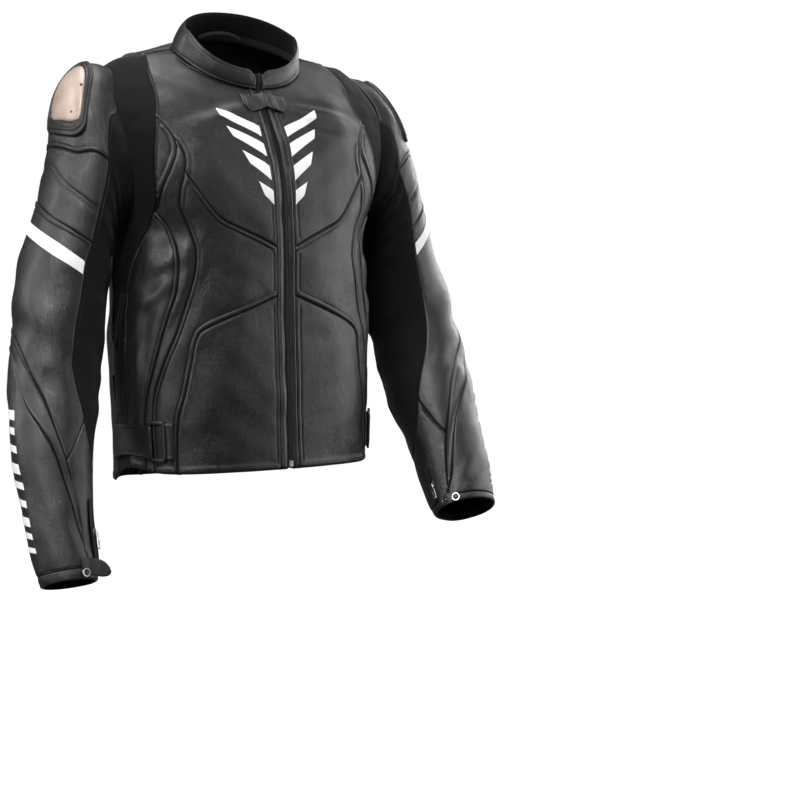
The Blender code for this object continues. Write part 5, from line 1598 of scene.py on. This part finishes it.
def cuffTab(side, word):
    # A flap round the cuff with a half-round end; on the right its free end stands off by a power curve
    u, v = np.meshgrid(np.linspace(0, 1, 40), np.linspace(-1, 1, 15), indexing="ij")
    half = np.sqrt(np.clip(1 - np.clip((u - 0.72) / 0.285, 0, 1) ** 2, 0.004, 1))
    degrees = cuffFlap["from"] + (cuffFlap["to"] - cuffFlap["from"]) * u
    centre = np.stack([degrees, 0 * u + cuffFlap["level"][side]], -1)
    points, norms = surfaceAt(sleeveForm, centre, side)
    down = sleeveForm(centre + [0, 0.05], side) - points
    down /= np.linalg.norm(down, axis=-1, keepdims=True)
    spread = v * half * cuffFlap["half"][side]
    spread = np.where(spread > 0, spread * (0.72 if side == left else 0.85), spread)
    spread = spread + cuffFlap["droop"][side] * np.clip((u - 0.3) / 0.7, 0, 1) ** 2
    points = points + down * spread[..., None]
    edge = np.minimum((1 - np.abs(v)) * half * cuffFlap["half"][side], u * 30)
    away = cuffFlap["lift"][side] * np.clip((u - 0.3) / 0.7, 0, 1) ** 1.7
    top = cuffFlap["high"] + away - 0.7 * np.exp(-(edge / 0.9) ** 2) - 0.3 * np.exp(-((edge - 2.6) / 0.7) ** 2)
    rows, columns = u.shape
    count = rows * columns
    ids = np.arange(count).reshape(rows, columns)
    rim = np.concatenate([ids[:-1, 0], ids[-1, :-1], ids[1:, -1][::-1], ids[0, 1:][::-1]])
    strip = np.stack([np.roll(rim, -1), rim, rim + count, np.roll(rim, -1) + count], 1)
    faces = gridFaces(rows, columns)
    verts = np.vstack([(points + norms * top[..., None]).reshape(-1, 3),
                       (points + norms * (cuffFlap["low"] + away)[..., None]).reshape(-1, 3)])
    piece = makeMesh("cuff_tab_leather_" + word, verts, np.vstack([faces, faces[:, ::-1] + count, strip[:, ::-1]]),
                     [finishes["leather"]])
    fixedNormals(piece)
    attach(piece, "jacket")
    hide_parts("cuff_tab_" + word)


for side, word in sideNames.items():
    waistAdjuster(side, word)
    slider, out = shortZip("pocket_zip_parts_" + word, "pocket_zip_" + word, torsoForm, side, pocket, 1.4)
    down = np.array([0.0, 0.0, -1.0])
    pullPiece("pocket_pull_" + word, slider + out * pullHeight, np.cross(down, out), down, pocket["pull"],
              finishes["satin"])
    slider, out = shortZip("cuff_zip_parts_" + word, "cuff_zip_" + word, sleeveForm, side, cuffZip, 2.2)
    end = sleeveForm(np.array([[cuffZip["path"][0][0], cuffZip["path"][-1][1]]]), side)[0] - slider
    along = end - out * np.dot(end, out)
    pullPiece("cuff_pull_" + word, slider + out * pullHeight, np.cross(along, out), along, cuffZip["pull"],
              finishes["nickel"])
    cuffTab(side, word)
    snapAt("cuff_snap_ring_" + word, (92, 13.7), side, 3.8, 5.8, finishes["nickel"])
    if side == left:
        snapAt("cuff_snap_dark_" + word, (112, 13.62), side, 3.8, 5.4, finishes["gunmetal"])
print("fastened the waist and cuffs")


# Stage: floor, lights and camera

view = {
    "place": (-1.6884, -2.5999, -0.224),
    "azimuth": 33.0,
    "yaw": 4.106,
    "pitch": 4.442,
    "focal": 2214.0,       # in pixels of an 800 pixel wide image
}
lights = (
    # name, place, aim, width, height, power
    ("key", (-2.3, -2.1, 2.3), (0.0, 0.0, -0.1), 1.3, 1.3, 130.0),
    ("front fill", (2.0, -2.9, 0.5), (0.0, 0.0, -0.3), 1.8, 2.4, 16.0),
    ("side box", (-2.5, -0.95, 0.35), (-0.1, 0.0, -0.25), 0.7, 2.0, 24.0),
    ("left soft box", (2.75, -0.95, 0.15), (0.05, -0.1, -0.3), 1.7, 2.4, 46.0),
    ("left rim", (-2.6, 1.3, 0.7), (-0.1, 0.0, -0.2), 0.8, 2.2, 52.0),
    ("right rim", (2.7, 0.9, 0.6), (0.1, 0.0, -0.2), 0.8, 2.2, 36.0),
    ("top", (0.1, 0.3, 2.5), (0.0, 0.0, 0.0), 1.8, 1.1, 70.0),
)


stage = {"low": -950.0, "floor": 4300.0, "curve": 1500.0, "wall": 5200.0, "glow": 0.95}


def aimedAt(obj, place, target):
    # Puts an object at a place, looking at a target
    obj.location = place
    obj.rotation_euler = (Vector(target) - Vector(place)).to_track_quat("-Z", "Y").to_euler()


def makeStage():
    # A pale floor that curves up into a wall all round, soft area lights, and the camera at the photo's angle
    # Lit paper, matt white: it glows a little so that it stays even, and casts no veil on the leather
    material, shader = newFinish("matt white backdrop paper", "#6a6a6a", 0.9,
                                 Emission_Color=linear("#ffffff"), Emission_Strength=stage["glow"])
    a = math.radians(view["azimuth"])
    away, aside = np.array([math.sin(a), math.cos(a), 0]), np.array([math.cos(a), -math.sin(a), 0])
    bend = np.linspace(0, np.pi / 2, 12)
    radius = np.concatenate([[1, 2000], stage["floor"] + stage["curve"] * np.sin(bend), [stage["floor"] + stage["curve"]]])
    height = np.concatenate([[0, 0], stage["curve"] * (1 - np.cos(bend)), [stage["wall"]]]) + stage["low"]
    turn = np.linspace(0, 2 * np.pi, 96, endpoint=False)
    points = np.stack([radius[:, None] * np.cos(turn), radius[:, None] * np.sin(turn), height[:, None] + 0 * turn], -1)
    floor = makeMesh("floor", points.reshape(-1, 3), gridFaces(len(radius), 96, closedColumns=True), [material])
    floor.visible_glossy = False
    floor.visible_diffuse = False
    bpy.context.scene.view_settings.view_transform = "Standard"
    for name, place, target, width, tall, power in lights:
        lamp = bpy.data.lights.new(name, "AREA")
        lamp.shape = "RECTANGLE"
        lamp.size, lamp.size_y, lamp.energy = width, tall, power
        obj = bpy.data.objects.new(name, lamp)
        bpy.context.scene.collection.objects.link(obj)
        aimedAt(obj, place, target)
    world = bpy.data.worlds.new("studio")
    world.use_nodes = True
    world.node_tree.nodes["Background"].inputs["Color"].default_value = linear("#ffffff")
    world.node_tree.nodes["Background"].inputs["Strength"].default_value = 0.1
    bpy.context.scene.world = world
    yaw, pitch = math.radians(view["yaw"]), math.radians(view["pitch"])
    looking = (aside * math.sin(yaw) + away * math.cos(yaw)) * math.cos(pitch) - np.array([0, 0, math.sin(pitch)])
    data = bpy.data.cameras.new("camera")
    data.sensor_width = 36.0
    data.lens = 36.0 * view["focal"] / 800
    camera = bpy.data.objects.new("camera", data)
    bpy.context.scene.collection.objects.link(camera)
    aimedAt(camera, view["place"], Vector(view["place"]) + Vector(looking))
    bpy.context.scene.camera = camera


makeStage()
print("set the stage")
